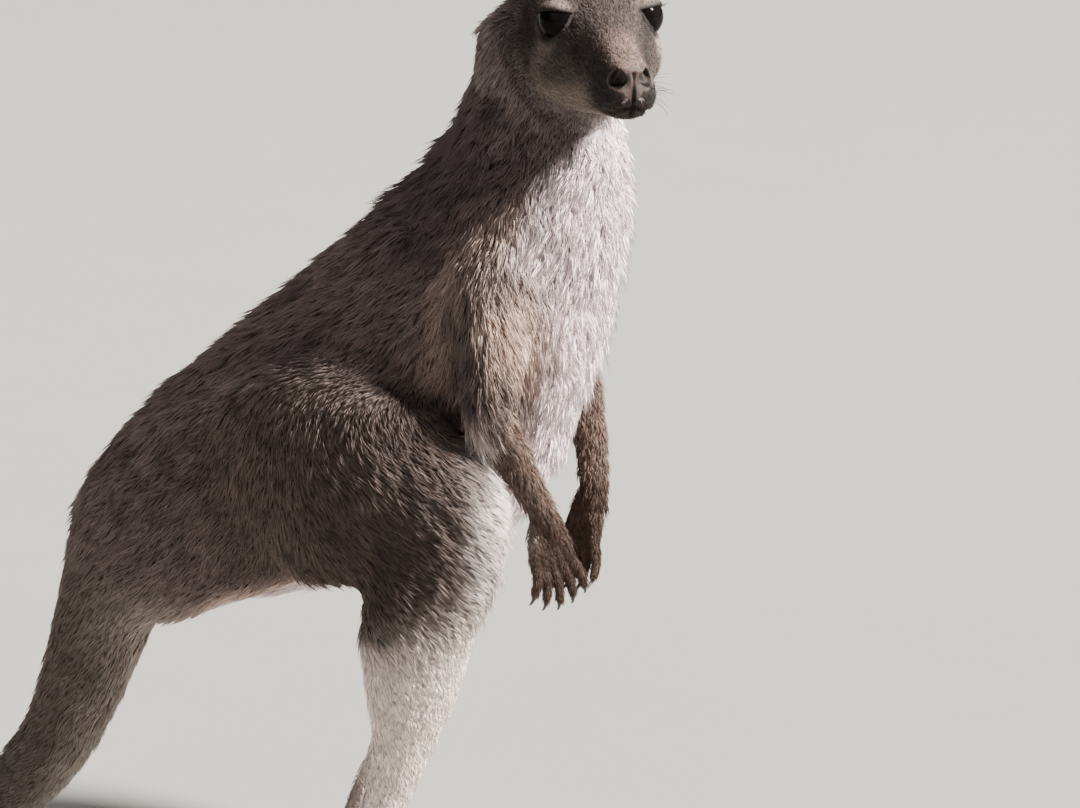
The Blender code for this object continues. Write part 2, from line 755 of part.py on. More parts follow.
def part_arms(rest, nodes, cutters):
    """The upper arm lies in a drum at the shoulder, and the forearm and hand hang from it."""
    for arm, hand, region in ARMS:
        upper, rest = carve(rest, "arm_drum_" + side_name(hand), region, hand, 0.0, cutters)
        nodes["upper_arm_" + side_name(hand)] = upper
    pieces = split_loose(rest, cutters)
    for arm, hand, region in ARMS:
        side = side_name(hand)
        wrist, along, across, back = hand_frame(arm)
        lower = take(pieces, wrist + along * PALM_LENGTH)
        above = Vector(arm[-2][:3])
        nodes["forearm_" + side], nodes["hand_" + side] = part_across(
            lower, "wrist_cut_" + side, above, wrist - above, WRIST_CUT, arm[-3][:3], cutters)
    return pieces[0]


def part_head(rest, nodes, cutters):
    place = head_matrix()
    turn = place.to_3x3()
    centre = place @ Vector(HEAD_CUT_AT)
    nose = place @ Vector((HEAD[-1][0], 0.0, HEAD[-1][1]))
    head, rest = part_across(
        rest, "head_cut", centre, turn @ Vector(HEAD_CUT_NORMAL), HEAD_CUT, nose, cutters)
    for hand in (RIGHT, LEFT):
        up = ear_turn(hand) @ Z_AXIS
        centre = place @ (ear_root(hand) + up * EAR_CUT_UP)
        tip = place @ (ear_root(hand) + up * EAR_LENGTH)
        ear, head = part_across(head, "ear_cut_" + side_name(hand), centre, turn @ up, EAR_CUT, tip, cutters)
        nodes["ear_" + side_name(hand)] = ear
    nodes["head"] = head
    return rest


def part_trunk(rest, nodes, cutters):
    """The neck, chest and belly, cut along the trunk's own sections, and the rump that is left."""
    for name, row in (("neck", NECK_ROW), ("chest", CHEST_ROW), ("belly", BELLY_ROW)):
        back_x, back_z, belly_x, belly_z, width, left, turned = TRUNK[row]
        back = Vector((back_x, left, back_z))
        belly = Vector((belly_x, left, belly_z))
        normal = Matrix.Rotation(math.radians(turned), 3, "Z") @ (back - belly).cross(Y_AXIS)
        above = Vector((TRUNK[row + 1][0], 0.0, TRUNK[row + 1][1]))
        nodes[name], rest = part_across(
            rest, name + "_cut", (back + belly) / 2, normal, TRUNK_CUT, above, cutters)
    nodes["rump"] = rest


def add_eyes(nodes, group, cutters):
    for hand in (RIGHT, LEFT):
        name = "eye_" + side_name(hand)
        centre = head_matrix() @ Vector((EYE_AT[0], hand * EYE_AT[1], EYE_AT[2]))
        eye = ellipsoid(centre, (EYE_RADIUS,) * 3, EYE_SIDES, EYE_RINGS)
        hollow = ellipsoid(centre, (EYE_RADIUS + SOCKET_GAP * 2,) * 3, EYE_SIDES, EYE_RINGS)
        combine(nodes["head"], add_object(name + "_socket", hollow, cutters), "DIFFERENCE")
        nodes["head"] = keep_largest(nodes["head"], cutters)
        nodes[name] = add_object(name, eye, group)


def fit_claws(limb, claws, sockets, nodes, group, cutters):
    """Cut the claws' sockets in a hand or foot, and stand the claws in them."""
    combine(nodes[limb], join_meshes(limb + "_sockets", sockets, cutters), "DIFFERENCE")
    nodes[limb] = keep_largest(nodes[limb], cutters)
    for name, mesh in claws.items():
        nodes[name] = add_object(name, mesh, group)


def add_claws(nodes, group, cutters):
    for hand, back in SIDES:
        side = side_name(hand)
        claws = {"claw_%s_%s" % (toe[0], side): toe_claw(hand, back, toe, 0.0) for toe in TOES}
        sockets = [toe_claw(hand, back, toe, SOCKET_GAP) for toe in TOES]
        fit_claws("foot_" + side, claws, sockets, nodes, group, cutters)
    for arm, hand, region in ARMS:
        side = side_name(hand)
        numbers = range(len(FINGER_LENGTHS))
        name = "claw_finger_%d_" + side
        claws = {name % (number + 1): finger_claw(arm, number, 0.0) for number in numbers}
        sockets = [finger_claw(arm, number, SOCKET_GAP) for number in numbers]
        fit_claws("hand_" + side, claws, sockets, nodes, group, cutters)


def to_origin(items):
    """The move that puts the middle of the animal's length and width over the origin."""
    spots = [vertex.co for item in items for vertex in item.data.vertices]
    middle = [(min(s[i] for s in spots) + max(s[i] for s in spots)) / 2 for i in (0, 1)]
    return Matrix.Translation((-middle[0], -middle[1], 0.0))


# ---------------------------------------------------------------- materials and finishing
def make_material(name, look):
    material = bpy.data.materials.new(name)
    material.use_nodes = True
    shader = material.node_tree.nodes["Principled BSDF"]
    shader.inputs["Base Color"].default_value = (*look[:3], 1.0)
    shader.inputs["Roughness"].default_value = look[3]
    shader.inputs["Metallic"].default_value = 0.0
    material.diffuse_color = (*look[:3], 1.0)
    return material


def look_of(name):
    for start, slot in SLOTS:
        if name.startswith(start):
            return slot
    return "grey_coat"


def finish(nodes, group):
    """The named pieces, moved to the origin and given their materials."""
    materials = {name: make_material(name, look) for name, look in LOOKS.items()}
    shift = to_origin(nodes.values())
    for name, item in nodes.items():
        mesh = item.data
        bpy.data.objects.remove(item, do_unlink=True)
        tidy(mesh)
        mesh.transform(shift)
        mesh.name = name
        mesh.materials.append(materials[look_of(name)])
        mesh.shade_smooth()
        mesh.set_sharp_from_angle(angle=math.radians(SHARP_ANGLE))
        add_object(name, mesh, group)


def main():
    clear_scene()
    cutters = new_collection("cutters")
    animal = new_collection("red_kangaroo")
    nodes = {}
    rest = part_legs(build_body(cutters), nodes, cutters)
    rest = part_tail(rest, nodes, cutters)
    rest = part_arms(rest, nodes, cutters)
    rest = part_head(rest, nodes, cutters)
    part_trunk(rest, nodes, cutters)
    add_eyes(nodes, animal, cutters)
    add_claws(nodes, animal, cutters)
    finish(nodes, animal)
    for cutter in cutters.objects:
        cutter.hide_render = True
        cutter.display_type = "WIRE"


main()
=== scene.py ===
import json
import math

import bmesh
import bpy
import numpy as np
from mathutils import Matrix, Vector, noise
from mathutils.bvhtree import BVHTree

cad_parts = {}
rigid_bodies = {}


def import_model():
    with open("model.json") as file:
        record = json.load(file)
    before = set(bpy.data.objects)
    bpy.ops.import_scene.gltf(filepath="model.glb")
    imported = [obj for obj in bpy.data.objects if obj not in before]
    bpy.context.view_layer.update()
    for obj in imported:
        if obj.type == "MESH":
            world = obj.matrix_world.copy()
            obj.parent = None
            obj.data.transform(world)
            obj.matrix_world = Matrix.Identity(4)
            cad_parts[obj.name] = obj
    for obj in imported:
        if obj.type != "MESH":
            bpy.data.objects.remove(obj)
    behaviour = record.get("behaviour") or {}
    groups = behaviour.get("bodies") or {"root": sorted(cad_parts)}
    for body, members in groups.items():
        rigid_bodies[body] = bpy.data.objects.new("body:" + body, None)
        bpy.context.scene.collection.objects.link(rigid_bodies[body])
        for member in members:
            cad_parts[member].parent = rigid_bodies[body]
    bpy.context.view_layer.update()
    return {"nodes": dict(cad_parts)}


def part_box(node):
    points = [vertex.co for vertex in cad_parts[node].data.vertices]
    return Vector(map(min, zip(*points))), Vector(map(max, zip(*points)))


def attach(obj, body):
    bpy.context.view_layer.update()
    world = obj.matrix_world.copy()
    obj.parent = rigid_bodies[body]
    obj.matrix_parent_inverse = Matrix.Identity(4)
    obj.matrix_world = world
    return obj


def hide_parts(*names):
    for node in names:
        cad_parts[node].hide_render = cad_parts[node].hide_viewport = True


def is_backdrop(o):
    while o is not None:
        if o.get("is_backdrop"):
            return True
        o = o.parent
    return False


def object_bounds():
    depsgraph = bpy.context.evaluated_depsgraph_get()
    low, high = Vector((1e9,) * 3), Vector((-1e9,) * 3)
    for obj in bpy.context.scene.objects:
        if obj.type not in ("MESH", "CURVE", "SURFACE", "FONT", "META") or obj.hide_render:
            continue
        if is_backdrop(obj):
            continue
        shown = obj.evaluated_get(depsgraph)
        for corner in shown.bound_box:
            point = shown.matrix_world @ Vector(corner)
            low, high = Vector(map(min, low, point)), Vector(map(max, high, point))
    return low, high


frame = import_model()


# ---------------------------------------------------------------- Camera, floor and light
# The model stands on a plain pale studio floor. A strong even key lights it from ahead, and two weak
# soft lamps fill in. The camera looks a little down on its right side from just ahead, so close that
# the ears and feet are out of the picture.
LOOK_AT = Vector((0.3163, 0.0068, 0.376))
CAMERA_TURN = 12.0
CAMERA_RISE = 14.0
CAMERA_AWAY = 4.0
CAMERA_LENS = 182.67
CAMERA_SENSOR = 36.0
CAMERA_REACH = 100.0
FLOOR_SPAN = 60.0
FLOOR_COLOUR = (0.315, 0.305, 0.290)
FLOOR_MOTTLE = 0.97
FLOOR_PATCHES = 6.0
SKY_COLOUR = (0.78, 0.79, 0.86)
SKY_STRENGTH = 0.17
WALL_COLOUR = (0.62, 0.61, 0.58)
# The key stands so far off that it lights the whole floor evenly. Its width is in degrees.
KEY_TURN = 84.0
KEY_RISE = 40.0
KEY_WIDTH = 11.0
KEY_STRENGTH = 20.0
KEY_COLOUR = (1.0, 0.96, 0.91)
# Each soft lamp: name, turn and rise round the model, distance, size, watts and colour.
LAMPS = (
    ("fill_lamp", -20.0, 30.0, 4.5, 2.6, 22.0, (0.93, 0.96, 1.0)),
    ("rim_lamp", 175.0, 50.0, 4.0, 2.0, 40.0, (1.0, 0.97, 0.93)),
)


def heading(turn, rise):
    """The way from the model to something seen at this turn round it and this rise."""
    a = math.radians(turn)
    e = math.radians(rise)
    return Vector((math.sin(a) * math.cos(e), -math.cos(a) * math.cos(e), math.sin(e)))


class Wire:
    """A node's output that can stand in sums: each operator adds a Math node to its tree."""

    def __init__(self, bench, socket):
        self.bench = bench
        self.socket = socket

    def maths(self, operation, first, second=0.0, third=0.0):
        inputs = {0: first, 1: second, 2: third}
        return self.bench.add("ShaderNodeMath", {"operation": operation}, inputs)

    def __add__(self, other):
        return self.maths("ADD", self, other)

    def __sub__(self, other):
        return self.maths("SUBTRACT", self, other)

    def __rsub__(self, other):
        return self.maths("SUBTRACT", other, self)

    def __mul__(self, other):
        return self.maths("MULTIPLY", self, other)

    def __truediv__(self, other):
        return self.maths("DIVIDE", self, other)

    def __pow__(self, other):
        return self.maths("POWER", self, other)

    def ramp(self, start, end):
        """0 below start, 1 above end and a smooth step between."""
        settings = {"interpolation_type": "SMOOTHSTEP"}
        inputs = {"Value": self, "From Min": start, "From Max": end}
        return self.bench.add("ShaderNodeMapRange", settings, inputs)

    __radd__ = __add__
    __rmul__ = __mul__


class Bench:
    """A node tree at work: add() makes a node, sets it up, fills its sockets and gives an output."""

    def __init__(self, tree):
        self.tree = tree
        tree.nodes.clear()

    def pick(self, sockets, key):
        if isinstance(key, int):
            return sockets[key]
        return next(socket for socket in sockets if socket.name == key and socket.enabled)

    def add(self, kind, settings=None, inputs=None, out=0):
        node = self.tree.nodes.new(kind)
        for name, value in (settings or {}).items():
            setattr(node, name, value)
        for key, value in (inputs or {}).items():
            socket = self.pick(node.inputs, key)
            if isinstance(value, Wire):
                self.tree.links.new(value.socket, socket)
            else:
                socket.default_value = value
        return Wire(self, self.pick(node.outputs, out)) if node.outputs else node

    def spot(self):
        """Where each point of a surface lies on its piece."""
        return self.add("ShaderNodeTexCoord", {}, {}, "Object")

    def field(self, name, out="Fac"):
        """A field kept on the mesh under this name."""
        return self.add("ShaderNodeAttribute", {"attribute_name": name}, {}, out)

    def relief(self, height, strength, deep):
        """A fine relief on a surface."""
        inputs = {"Height": height, "Strength": strength, "Distance": deep}
        return self.add("ShaderNodeBump", {}, inputs, "Normal")

    def blend(self, share, first, second, way="MIX"):
        """One colour mixed into another."""
        settings = {"data_type": "RGBA", "blend_type": way}
        inputs = {"Factor": share, "A": first, "B": second}
        return self.add("ShaderNodeMix", settings, inputs, "Result")

    def vectors(self, operation, first, second):
        return self.add("ShaderNodeVectorMath", {"operation": operation}, {0: first, 1: second})

    def noise(self, where, scale, detail=3.0, rough=0.5, out=0):
        inputs = {"Vector": where, "Scale": scale, "Detail": detail, "Roughness": rough}
        return self.add("ShaderNodeTexNoise", {}, inputs, out)


def finish_of(name):
    """A new material and the bench on which its nodes are put together."""
    material = bpy.data.materials.new(name)
    material.use_nodes = True
    return material, Bench(material.node_tree)


def show(bench, inputs):
    """The last two nodes: the surface's shader with its own values, and the output."""
    shader = bench.add("ShaderNodeBsdfPrincipled", {}, inputs)
    bench.add("ShaderNodeOutputMaterial", {}, {"Surface": shader})


def place(name, mesh):
    """A new piece in the scene."""
    piece = bpy.data.objects.new(name, mesh)
    bpy.context.scene.collection.objects.link(piece)
    return piece


def aim(thing, turn, rise, away):
    """Sets a camera or lamp this far off at a turn and rise, looking back at the model."""
    thing.location = LOOK_AT + heading(turn, rise) * away
    thing.rotation_euler = heading(turn, rise).to_track_quat("Z", "Y").to_euler()


camera = place("camera", bpy.data.cameras.new("camera"))
camera.data.lens = CAMERA_LENS
camera.data.sensor_width = CAMERA_SENSOR
camera.data.clip_end = CAMERA_REACH
aim(camera, CAMERA_TURN, CAMERA_RISE, CAMERA_AWAY)
bpy.context.scene.camera = camera

floor_mesh = bpy.data.meshes.new("floor")
corners = [(x * FLOOR_SPAN / 2, y * FLOOR_SPAN / 2, 0.0) for x, y in ((-1, -1), (1, -1), (1, 1), (-1, 1))]
floor_mesh.from_pydata(corners, [], [(0, 1, 2, 3)])
floor = place("floor", floor_mesh)
floor_finish, bench = finish_of("floor_paint")
spot = bench.spot()
mottle = bench.noise(spot, FLOOR_PATCHES, 4.0)
tone = bench.blend(mottle, (*FLOOR_COLOUR, 1.0), (*[share * FLOOR_MOTTLE for share in FLOOR_COLOUR], 1.0))
show(bench, {"Base Color": tone, "Roughness": 0.85})
floor_mesh.materials.append(floor_finish)
floor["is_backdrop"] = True

# The room's soft light is dim and bluish, but its wall is painted as pale as the lit floor looks.
sky = bpy.data.worlds.new("studio")
bpy.context.scene.world = sky
sky.use_nodes = True
bench = Bench(sky.node_tree)
glow = bench.add("ShaderNodeBackground", {}, {"Color": (*SKY_COLOUR, 1.0), "Strength": SKY_STRENGTH})
wall = bench.add("ShaderNodeBackground", {}, {"Color": (*WALL_COLOUR, 1.0)})
seen = bench.add("ShaderNodeLightPath", {}, {}, "Is Camera Ray")
room = bench.add("ShaderNodeMixShader", {}, {0: seen, 1: glow, 2: wall})
bench.add("ShaderNodeOutputWorld", {}, {"Surface": room})

key = place("key_lamp", bpy.data.lights.new("key_lamp", "SUN"))
key.data.energy = KEY_STRENGTH
key.data.angle = math.radians(KEY_WIDTH)
key.data.color = KEY_COLOUR
aim(key, KEY_TURN, KEY_RISE, 0.0)

for name, turn, rise, away, size, watts, colour in LAMPS:
    lamp = place(name, bpy.data.lights.new(name, "AREA"))
    lamp.data.size = size
    lamp.data.energy = watts
    lamp.data.color = colour
    aim(lamp, turn, rise, away)


# ---------------------------------------------------------------- Head
# The skull and face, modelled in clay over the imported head's place: rounded squares from the nape to
# the nose, with the swells of the cheeks, brows and upper lips laid on. The skin is fused over it.
EYE_INSET = Vector((-0.0020, 0.0, -0.0005))
HEAD_NOD = 2.0
# The head, from the back of the skull to the nose: x, top z, bottom z, half width, fullness below.
HEAD = (
    (-0.094, 0.004, -0.034, 0.016, 0.00),
    (-0.086, 0.016, -0.048, 0.028, 0.00),
    (-0.070, 0.028, -0.056, 0.037, 0.00),
    (-0.050, 0.035, -0.060, 0.0435, 0.00),
    (-0.030, 0.036, -0.067, 0.0475, -0.02),
    (-0.010, 0.030, -0.070, 0.0455, -0.04),
    (0.010, 0.018, -0.068, 0.0380, -0.10),
    (0.030, 0.007, -0.063, 0.0295, -0.14),
    (0.055, -0.003, -0.060, 0.0225, -0.12),
    (0.074, -0.010, -0.058, 0.0200, -0.08),
    (0.084, -0.013, -0.051, 0.0165, -0.04),
    (0.0895, -0.018, -0.039, 0.0105, 0.00),
)
HEAD_SQUARE = 2.3
# Swellings of the head, the same on both sides: middle and half sizes.
HEAD_FORMS = (
    ((-0.018, 0.0325, -0.028), (0.030, 0.0165, 0.026)),
    ((-0.048, 0.022, 0.018), (0.016, 0.016, 0.016)),
    ((0.072, 0.0105, -0.040), (0.0150, 0.0105, 0.0125)),
)
# How finely it is laid: rings between two rows, and points round a ring.
HEAD_RINGS = 6
HEAD_AROUND = 48


def middle(node):
    """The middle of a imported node's box."""
    low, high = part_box(node)
    return (low + high) / 2


def smooth_rows(rows, steps):
    """Rows of numbers along a smooth curve through the given rows."""
    out = []
    last = len(rows) - 1
    for i in range(last):
        p0, p1, p2, p3 = (np.array(rows[min(max(i + k, 0), last)]) for k in (-1, 0, 1, 2))
        for k in range(steps):
            t = k / steps
            out.append(0.5 * (2 * p1 + (p2 - p0) * t + (2 * p0 - 5 * p1 + 4 * p2 - p3) * t * t
                              + (3 * p1 - p0 - 3 * p2 + p3) * t ** 3))
    out.append(np.array(rows[last]))
    return out


def loft(rings):
    """A closed bmesh through rings of as many points each."""
    form = bmesh.new()
    rows = [[form.verts.new(point) for point in points] for points in rings]
    count = len(rows[0])
    for lower, upper in zip(rows, rows[1:]):
        for k in range(count):
            n = (k + 1) % count
            form.faces.new((lower[k], lower[n], upper[n], upper[k]))
    form.faces.new(rows[0])
    form.faces.new(rows[-1])
    bmesh.ops.recalc_face_normals(form, faces=form.faces)
    return form


def ball(centre, size, segments=32, rings=20):
    """A ball or egg with these half sizes."""
    form = bmesh.new()
    bmesh.ops.create_uvsphere(form, u_segments=segments, v_segments=rings, radius=1.0)
    shape = Matrix.LocRotScale(Vector(centre), None, Vector(size))
    bmesh.ops.transform(form, matrix=shape, verts=form.verts)
    return form


def skull_form():
    """A loft of rounded squares, fuller below the cheek line towards the lips."""
    rings = []
    for x, top, bottom, width, full in smooth_rows(HEAD, HEAD_RINGS):
        points = []
        for a in np.linspace(0.0, 2 * math.pi, HEAD_AROUND, endpoint=False):
            c, s = math.cos(a), math.sin(a)
            y = math.copysign(abs(c) ** (2 / HEAD_SQUARE), c) * width * (1 + full * s)
            z = math.copysign(abs(s) ** (2 / HEAD_SQUARE), s) * (top - bottom) / 2
            points.append(Vector((x, y, (top + bottom) / 2 + z)))
        rings.append(points)
    return loft(rings)


# The head's own frame: the origin midway between the eyes, +x along the face and +y to its left.
eye_right = middle("eye_r")
eye_left = middle("eye_l")
head_left = (eye_left - eye_right).normalized()
head_level = head_left.cross(Vector((0.0, 0.0, 1.0))).normalized()
head_turn = Matrix((head_level, head_left, head_level.cross(head_left))).transposed()
head_turn = head_turn @ Matrix.Rotation(math.radians(HEAD_NOD), 3, "Y")
head_at = (eye_left + eye_right) / 2 - head_turn @ EYE_INSET
head_place = Matrix.Translation(head_at) @ head_turn.to_4x4()


def in_head(spots):
    """Points seen in the head's own frame."""
    return (spots - np.array(head_at)) @ np.array(head_turn)


# ---------------------------------------------------------------- Ears
# Two long cupped leaves of thin clay, set on the sides of the crown. They lean out and back, face
# forward and outward, and roll into a tube towards the root.
EAR_ROOT = (-0.046, 0.026, 0.024)
EAR_LENGTH = 0.103
EAR_HALF_WIDTH = 0.0222
EAR_THICK = 0.0040
EAR_THINNING = 0.35
EAR_BOW = 0.008
# Degrees: the lean of each ear, the turn of its hollow side, and half the arc of its section.
EAR_LEAN_OUT = 17.0
EAR_LEAN_BACK = 9.0
EAR_FACE_OUT = 32.0
EAR_CUP = 66.0
EAR_ROLL = 55.0
# The edges draw in to a point from this share of the length, and over this much of it.
EAR_TIP_FROM = 0.55
EAR_TIP_OVER = 0.45
EAR_RINGS = 40
EAR_ACROSS = 25


def ear_turn(hand):
    """How an ear is turned on the head: its length is +z and its hollow side faces +x."""
    lean = Matrix.Rotation(math.radians(-hand * EAR_LEAN_OUT), 3, "X")
    back = Matrix.Rotation(math.radians(-EAR_LEAN_BACK), 3, "Y")
    face = Matrix.Rotation(math.radians(hand * EAR_FACE_OUT), 3, "Z")
    return lean @ back @ face


def ear_form(hand):
    """A cupped leaf: its section is an arc with thickness, rolled up towards the root."""
    root = Vector((EAR_ROOT[0], hand * EAR_ROOT[1], EAR_ROOT[2]))
    rings = []
    for t in np.linspace(0.0, 1.0, EAR_RINGS):
        swell = math.sin(math.pi / 2 * min(t * 1.25 + 0.08, 1.0)) ** 1.2
        draw_in = max(t - EAR_TIP_FROM, 0.0) / EAR_TIP_OVER
        half = EAR_HALF_WIDTH * (0.55 + 0.45 * swell) * math.sqrt(max(1.0 - draw_in ** 2, 0.012))
        cup = math.radians(EAR_CUP + EAR_ROLL * (1 - t) ** 2)
        thick = EAR_THICK * (1.0 - EAR_THINNING * t)
        radius = half / math.sin(min(cup, math.pi / 2))
        bow = EAR_BOW * math.sin(math.pi * t) + radius * math.cos(cup)
        sides = []
        for size, order in ((radius + thick / 2, 1), (radius - thick / 2, -1)):
            angles = np.linspace(-cup, cup, EAR_ACROSS)[::order]
            sides += [Vector((bow - size * math.cos(a), size * math.sin(a), EAR_LENGTH * t)) for a in angles]
        turn = ear_turn(hand)
        rings.append([root + turn @ spot for spot in sides])
    return loft(rings)


def gather(name, forms):
    """One mesh from many bmeshes."""
    whole = bmesh.new()
    for form in forms:
        part = bpy.data.meshes.new("part")
        form.to_mesh(part)
        form.free()
        whole.from_mesh(part)
        bpy.data.meshes.remove(part)
    mesh = bpy.data.meshes.new(name)
    whole.to_mesh(mesh)
    whole.free()
    return mesh


head_forms = [skull_form()]
for hand in (-1, 1):
    head_forms.append(ear_form(hand))
    head_forms += [ball((at[0], hand * at[1], at[2]), size) for at, size in HEAD_FORMS]
head = gather("head_clay", head_forms)
head.transform(head_place)


# ---------------------------------------------------------------- Forearms and hands
# Slender forearms that hang from the elbows, each ending in a fan of five fingers on to the packed
# claws. They are built of clay rods for the bones and fused at a fine grain, so the fingers stay apart.
ELBOWS = {"r": (0.2975, -0.0920, 0.3960), "l": (0.3190, 0.1000, 0.3900)}
ARM_BOWS = {"r": 0.0, "l": 0.006}
FOREARM_RADII = (0.0150, 0.0145, 0.0132, 0.0118, 0.0104, 0.0096, 0.0088)
ARM_GRAIN = 0.0010
ARM_SMOOTH = 4
ARM_FACES = 30000
# How many sides the rods have.
ARM_SIDES = 20
FINGER_SIDES = 12
# Thickness from the wrist along the bones of the palm, and on from the knuckle to the claw.
PALM_RADII = (0.0056, 0.0062, 0.0056, 0.0049)
FINGER_RADII = (0.0045, 0.0040, 0.0036, 0.0034, 0.0027)
KNUCKLE = 0.62
WRIST_SHARE = 0.12
FINGER_BEND = Vector((0.0024, -0.0014, 0.0))
# Along each palm bone and each finger, the places of these thicknesses.
PALM_PLACES = (0.0, 0.4, 0.8, 1.0)
FINGER_PLACES = (-0.08, 0.25, 0.55, 0.85, 1.0)


def swept(points, radii, sides=6):
    """A closed tube along points, with a radius at each."""
    rings = []
    for i, (point, radius) in enumerate(zip(points, radii)):
        run = (points[min(i + 1, len(points) - 1)] - points[max(i - 1, 0)]).normalized()
        if i == 0:
            side_way = run.orthogonal().normalized()
        else:
            side_way = (side_way - run * side_way.dot(run)).normalized()
        other = run.cross(side_way)
        turns = [2 * math.pi * k / sides for k in range(sides)]
        rings.append([point + (side_way * math.cos(a) + other * math.sin(a)) * radius for a in turns])
    return loft(rings)


def baked(piece):
    """A piece's mesh with its modifiers worked in. The piece itself is taken away."""
    graph = bpy.context.evaluated_depsgraph_get()
    mesh = bpy.data.meshes.new_from_object(piece.evaluated_get(graph))
    bpy.data.objects.remove(piece, do_unlink=True)
    return mesh


def worked(mesh, *steps):
    """The mesh after its modifiers, each given as its kind and settings."""
    piece = place("work", mesh)
    for kind, settings in steps:
        modifier = piece.modifiers.new(kind, kind)
        for name, value in settings.items():
            setattr(modifier, name, value)
    return baked(piece)


def fused(mesh, grain, rounds):
    """Overlapping closed forms made into one smooth surface of this grain."""
    return worked(mesh, ("REMESH", {"mode": "VOXEL", "voxel_size": grain}),
                  ("SMOOTH", {"factor": 0.5, "iterations": rounds}))


def upper_end(name, share):
    """The middle of a hanging piece's upper end, where it leaves the one above."""
    spots = sorted((vertex.co for vertex in frame["nodes"][name].data.vertices), key=lambda spot: spot.z)
    top = spots[-max(int(len(spots) * share), 3):]
    return sum(top, Vector()) / len(top)


def forearm_line(side):
    """Points from the elbow to the wrist, where the hand hangs."""
    wrist = upper_end("hand_" + side, 0.2)
    line = []
    for t in np.linspace(0.0, 1.0, len(FOREARM_RADII)):
        bow = Vector((ARM_BOWS[side] * math.sin(math.pi * t), 0.0, 0.0))
        line.append(Vector(ELBOWS[side]).lerp(wrist, t) + bow)
    return line


arm_forms = []
for side in ("_l", "_r"):
    line = forearm_line(side[1])
    arm_forms.append(swept(line, FOREARM_RADII, ARM_SIDES))
    ends = [upper_end("claw_finger_%d%s" % (number, side), 1 / 3) for number in range(1, 6)]
    centre = sum(ends, Vector()) / len(ends)
    for end in ends:
        start = line[-2] + (end - centre) * WRIST_SHARE
        knuckle = start.lerp(end, KNUCKLE)
        palm = [start.lerp(knuckle, t) for t in PALM_PLACES]
        finger = [knuckle.lerp(end, t) + FINGER_BEND * math.sin(math.pi * t) for t in FINGER_PLACES]
        arm_forms.append(swept(palm, PALM_RADII, FINGER_SIDES))
        arm_forms.append(swept(finger, FINGER_RADII, FINGER_SIDES))
arm_clay = fused(gather("arm_clay", arm_forms), ARM_GRAIN, ARM_SMOOTH)
arm_clay.calc_loop_triangles()
arm_clay = worked(arm_clay, ("DECIMATE", {"ratio": ARM_FACES / len(arm_clay.loop_triangles)}))


# ---------------------------------------------------------------- Neck, trunk, legs and tail
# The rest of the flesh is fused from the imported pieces. The neck falls away behind the skull, and
# the forearms hang in a shallow groove, clear of the thighs and belly.
CLAY_GRAIN = 0.0024
CLAY_SMOOTH = 9
# The neck's upper end: its height, where it starts to fall and how steeply, back and to the sides.
NAPE_TOP = 0.016
NAPE_BACK = (-0.094, 0.9)
NAPE_SIDE = (-0.012, 0.018, 0.8)
ARM_CLEAR = 0.0055
GROOVE_SIDES = 16
WELD_GAP = 0.00001


def as_form(mesh):
    """A mesh on the bench, to be worked on."""
    form = bmesh.new()
    form.from_mesh(mesh)
    return form


flesh_nodes = sorted(name for name in frame["nodes"] if not name.startswith(("claw", "eye")))
trunk_forms = []
for name in flesh_nodes:
    if name.startswith(("head", "ear", "forearm", "hand")):
        continue
    form = as_form(frame["nodes"][name].data)
    bmesh.ops.remove_doubles(form, verts=form.verts, dist=WELD_GAP)
    if name == "neck":
        for vertex in form.verts:
            x, y, z = head_place.inverted() @ vertex.co
            top = NAPE_TOP - max(NAPE_BACK[0] - x, 0.0) * NAPE_BACK[1]
            top -= max(abs(y - NAPE_SIDE[0]) - NAPE_SIDE[1], 0.0) * NAPE_SIDE[2]
            vertex.co = head_place @ Vector((x, y, min(z, top)))
    if name.startswith("thigh") or name == "belly":
        for side in ("l", "r"):
            wide = [radius + ARM_CLEAR for radius in FOREARM_RADII[1:]]
            groove = place("groove", gather("groove", [swept(forearm_line(side)[1:], wide, GROOVE_SIDES)]))
            solid = gather("solid", [form])
            form = as_form(worked(solid, ("BOOLEAN", {"operation": "DIFFERENCE", "object": groove})))
            bpy.data.objects.remove(groove, do_unlink=True)
    trunk_forms.append(form)
trunk = fused(gather("trunk", trunk_forms), CLAY_GRAIN, CLAY_SMOOTH)


# ---------------------------------------------------------------- One skin
# The flesh of the animal under its coat is cast whole from the clay, one closed skin from nose to
# tail's tip with no joins: the trunk is fused with the head, and the arms are joined on.
SKIN_GRAIN = 0.0020
SKIN_SMOOTH = 3
SKIN_FACES = 118000
# Only the trunk and ears give up faces. The face keeps all its own, between these corners on the head.
KEPT_LOW = (-0.080, -0.085, -0.075)
KEPT_HIGH = (1.0, 0.085, 1.0)
# The lids, nose and lips get a finer grain than the rest. Each zone: its middle on the head and its reach.
EYE_SPOT = (-0.0035, 0.0302, -0.0008)
FINE_ZONES = (
    ((EYE_SPOT[0], EYE_SPOT[1], EYE_SPOT[2]), 0.0230),
    ((EYE_SPOT[0], -EYE_SPOT[1], EYE_SPOT[2]), 0.0230),
    ((0.084, 0.0, -0.034), 0.0330),
    ((EYE_SPOT[0] + 0.003, EYE_SPOT[1] + 0.007, EYE_SPOT[2]), 0.0160),
    ((EYE_SPOT[0] + 0.003, -EYE_SPOT[1] - 0.007, EYE_SPOT[2]), 0.0160),
    ((0.088, 0.0, -0.028), 0.0170),
)


def spots_of(mesh):
    """The mesh's points as rows of x, y, z."""
    spots = np.empty(len(mesh.vertices) * 3)
    mesh.vertices.foreach_get("co", spots)
    return spots.reshape(-1, 3)


clay = fused(gather("clay", [as_form(trunk), as_form(head)]), SKIN_GRAIN, SKIN_SMOOTH)
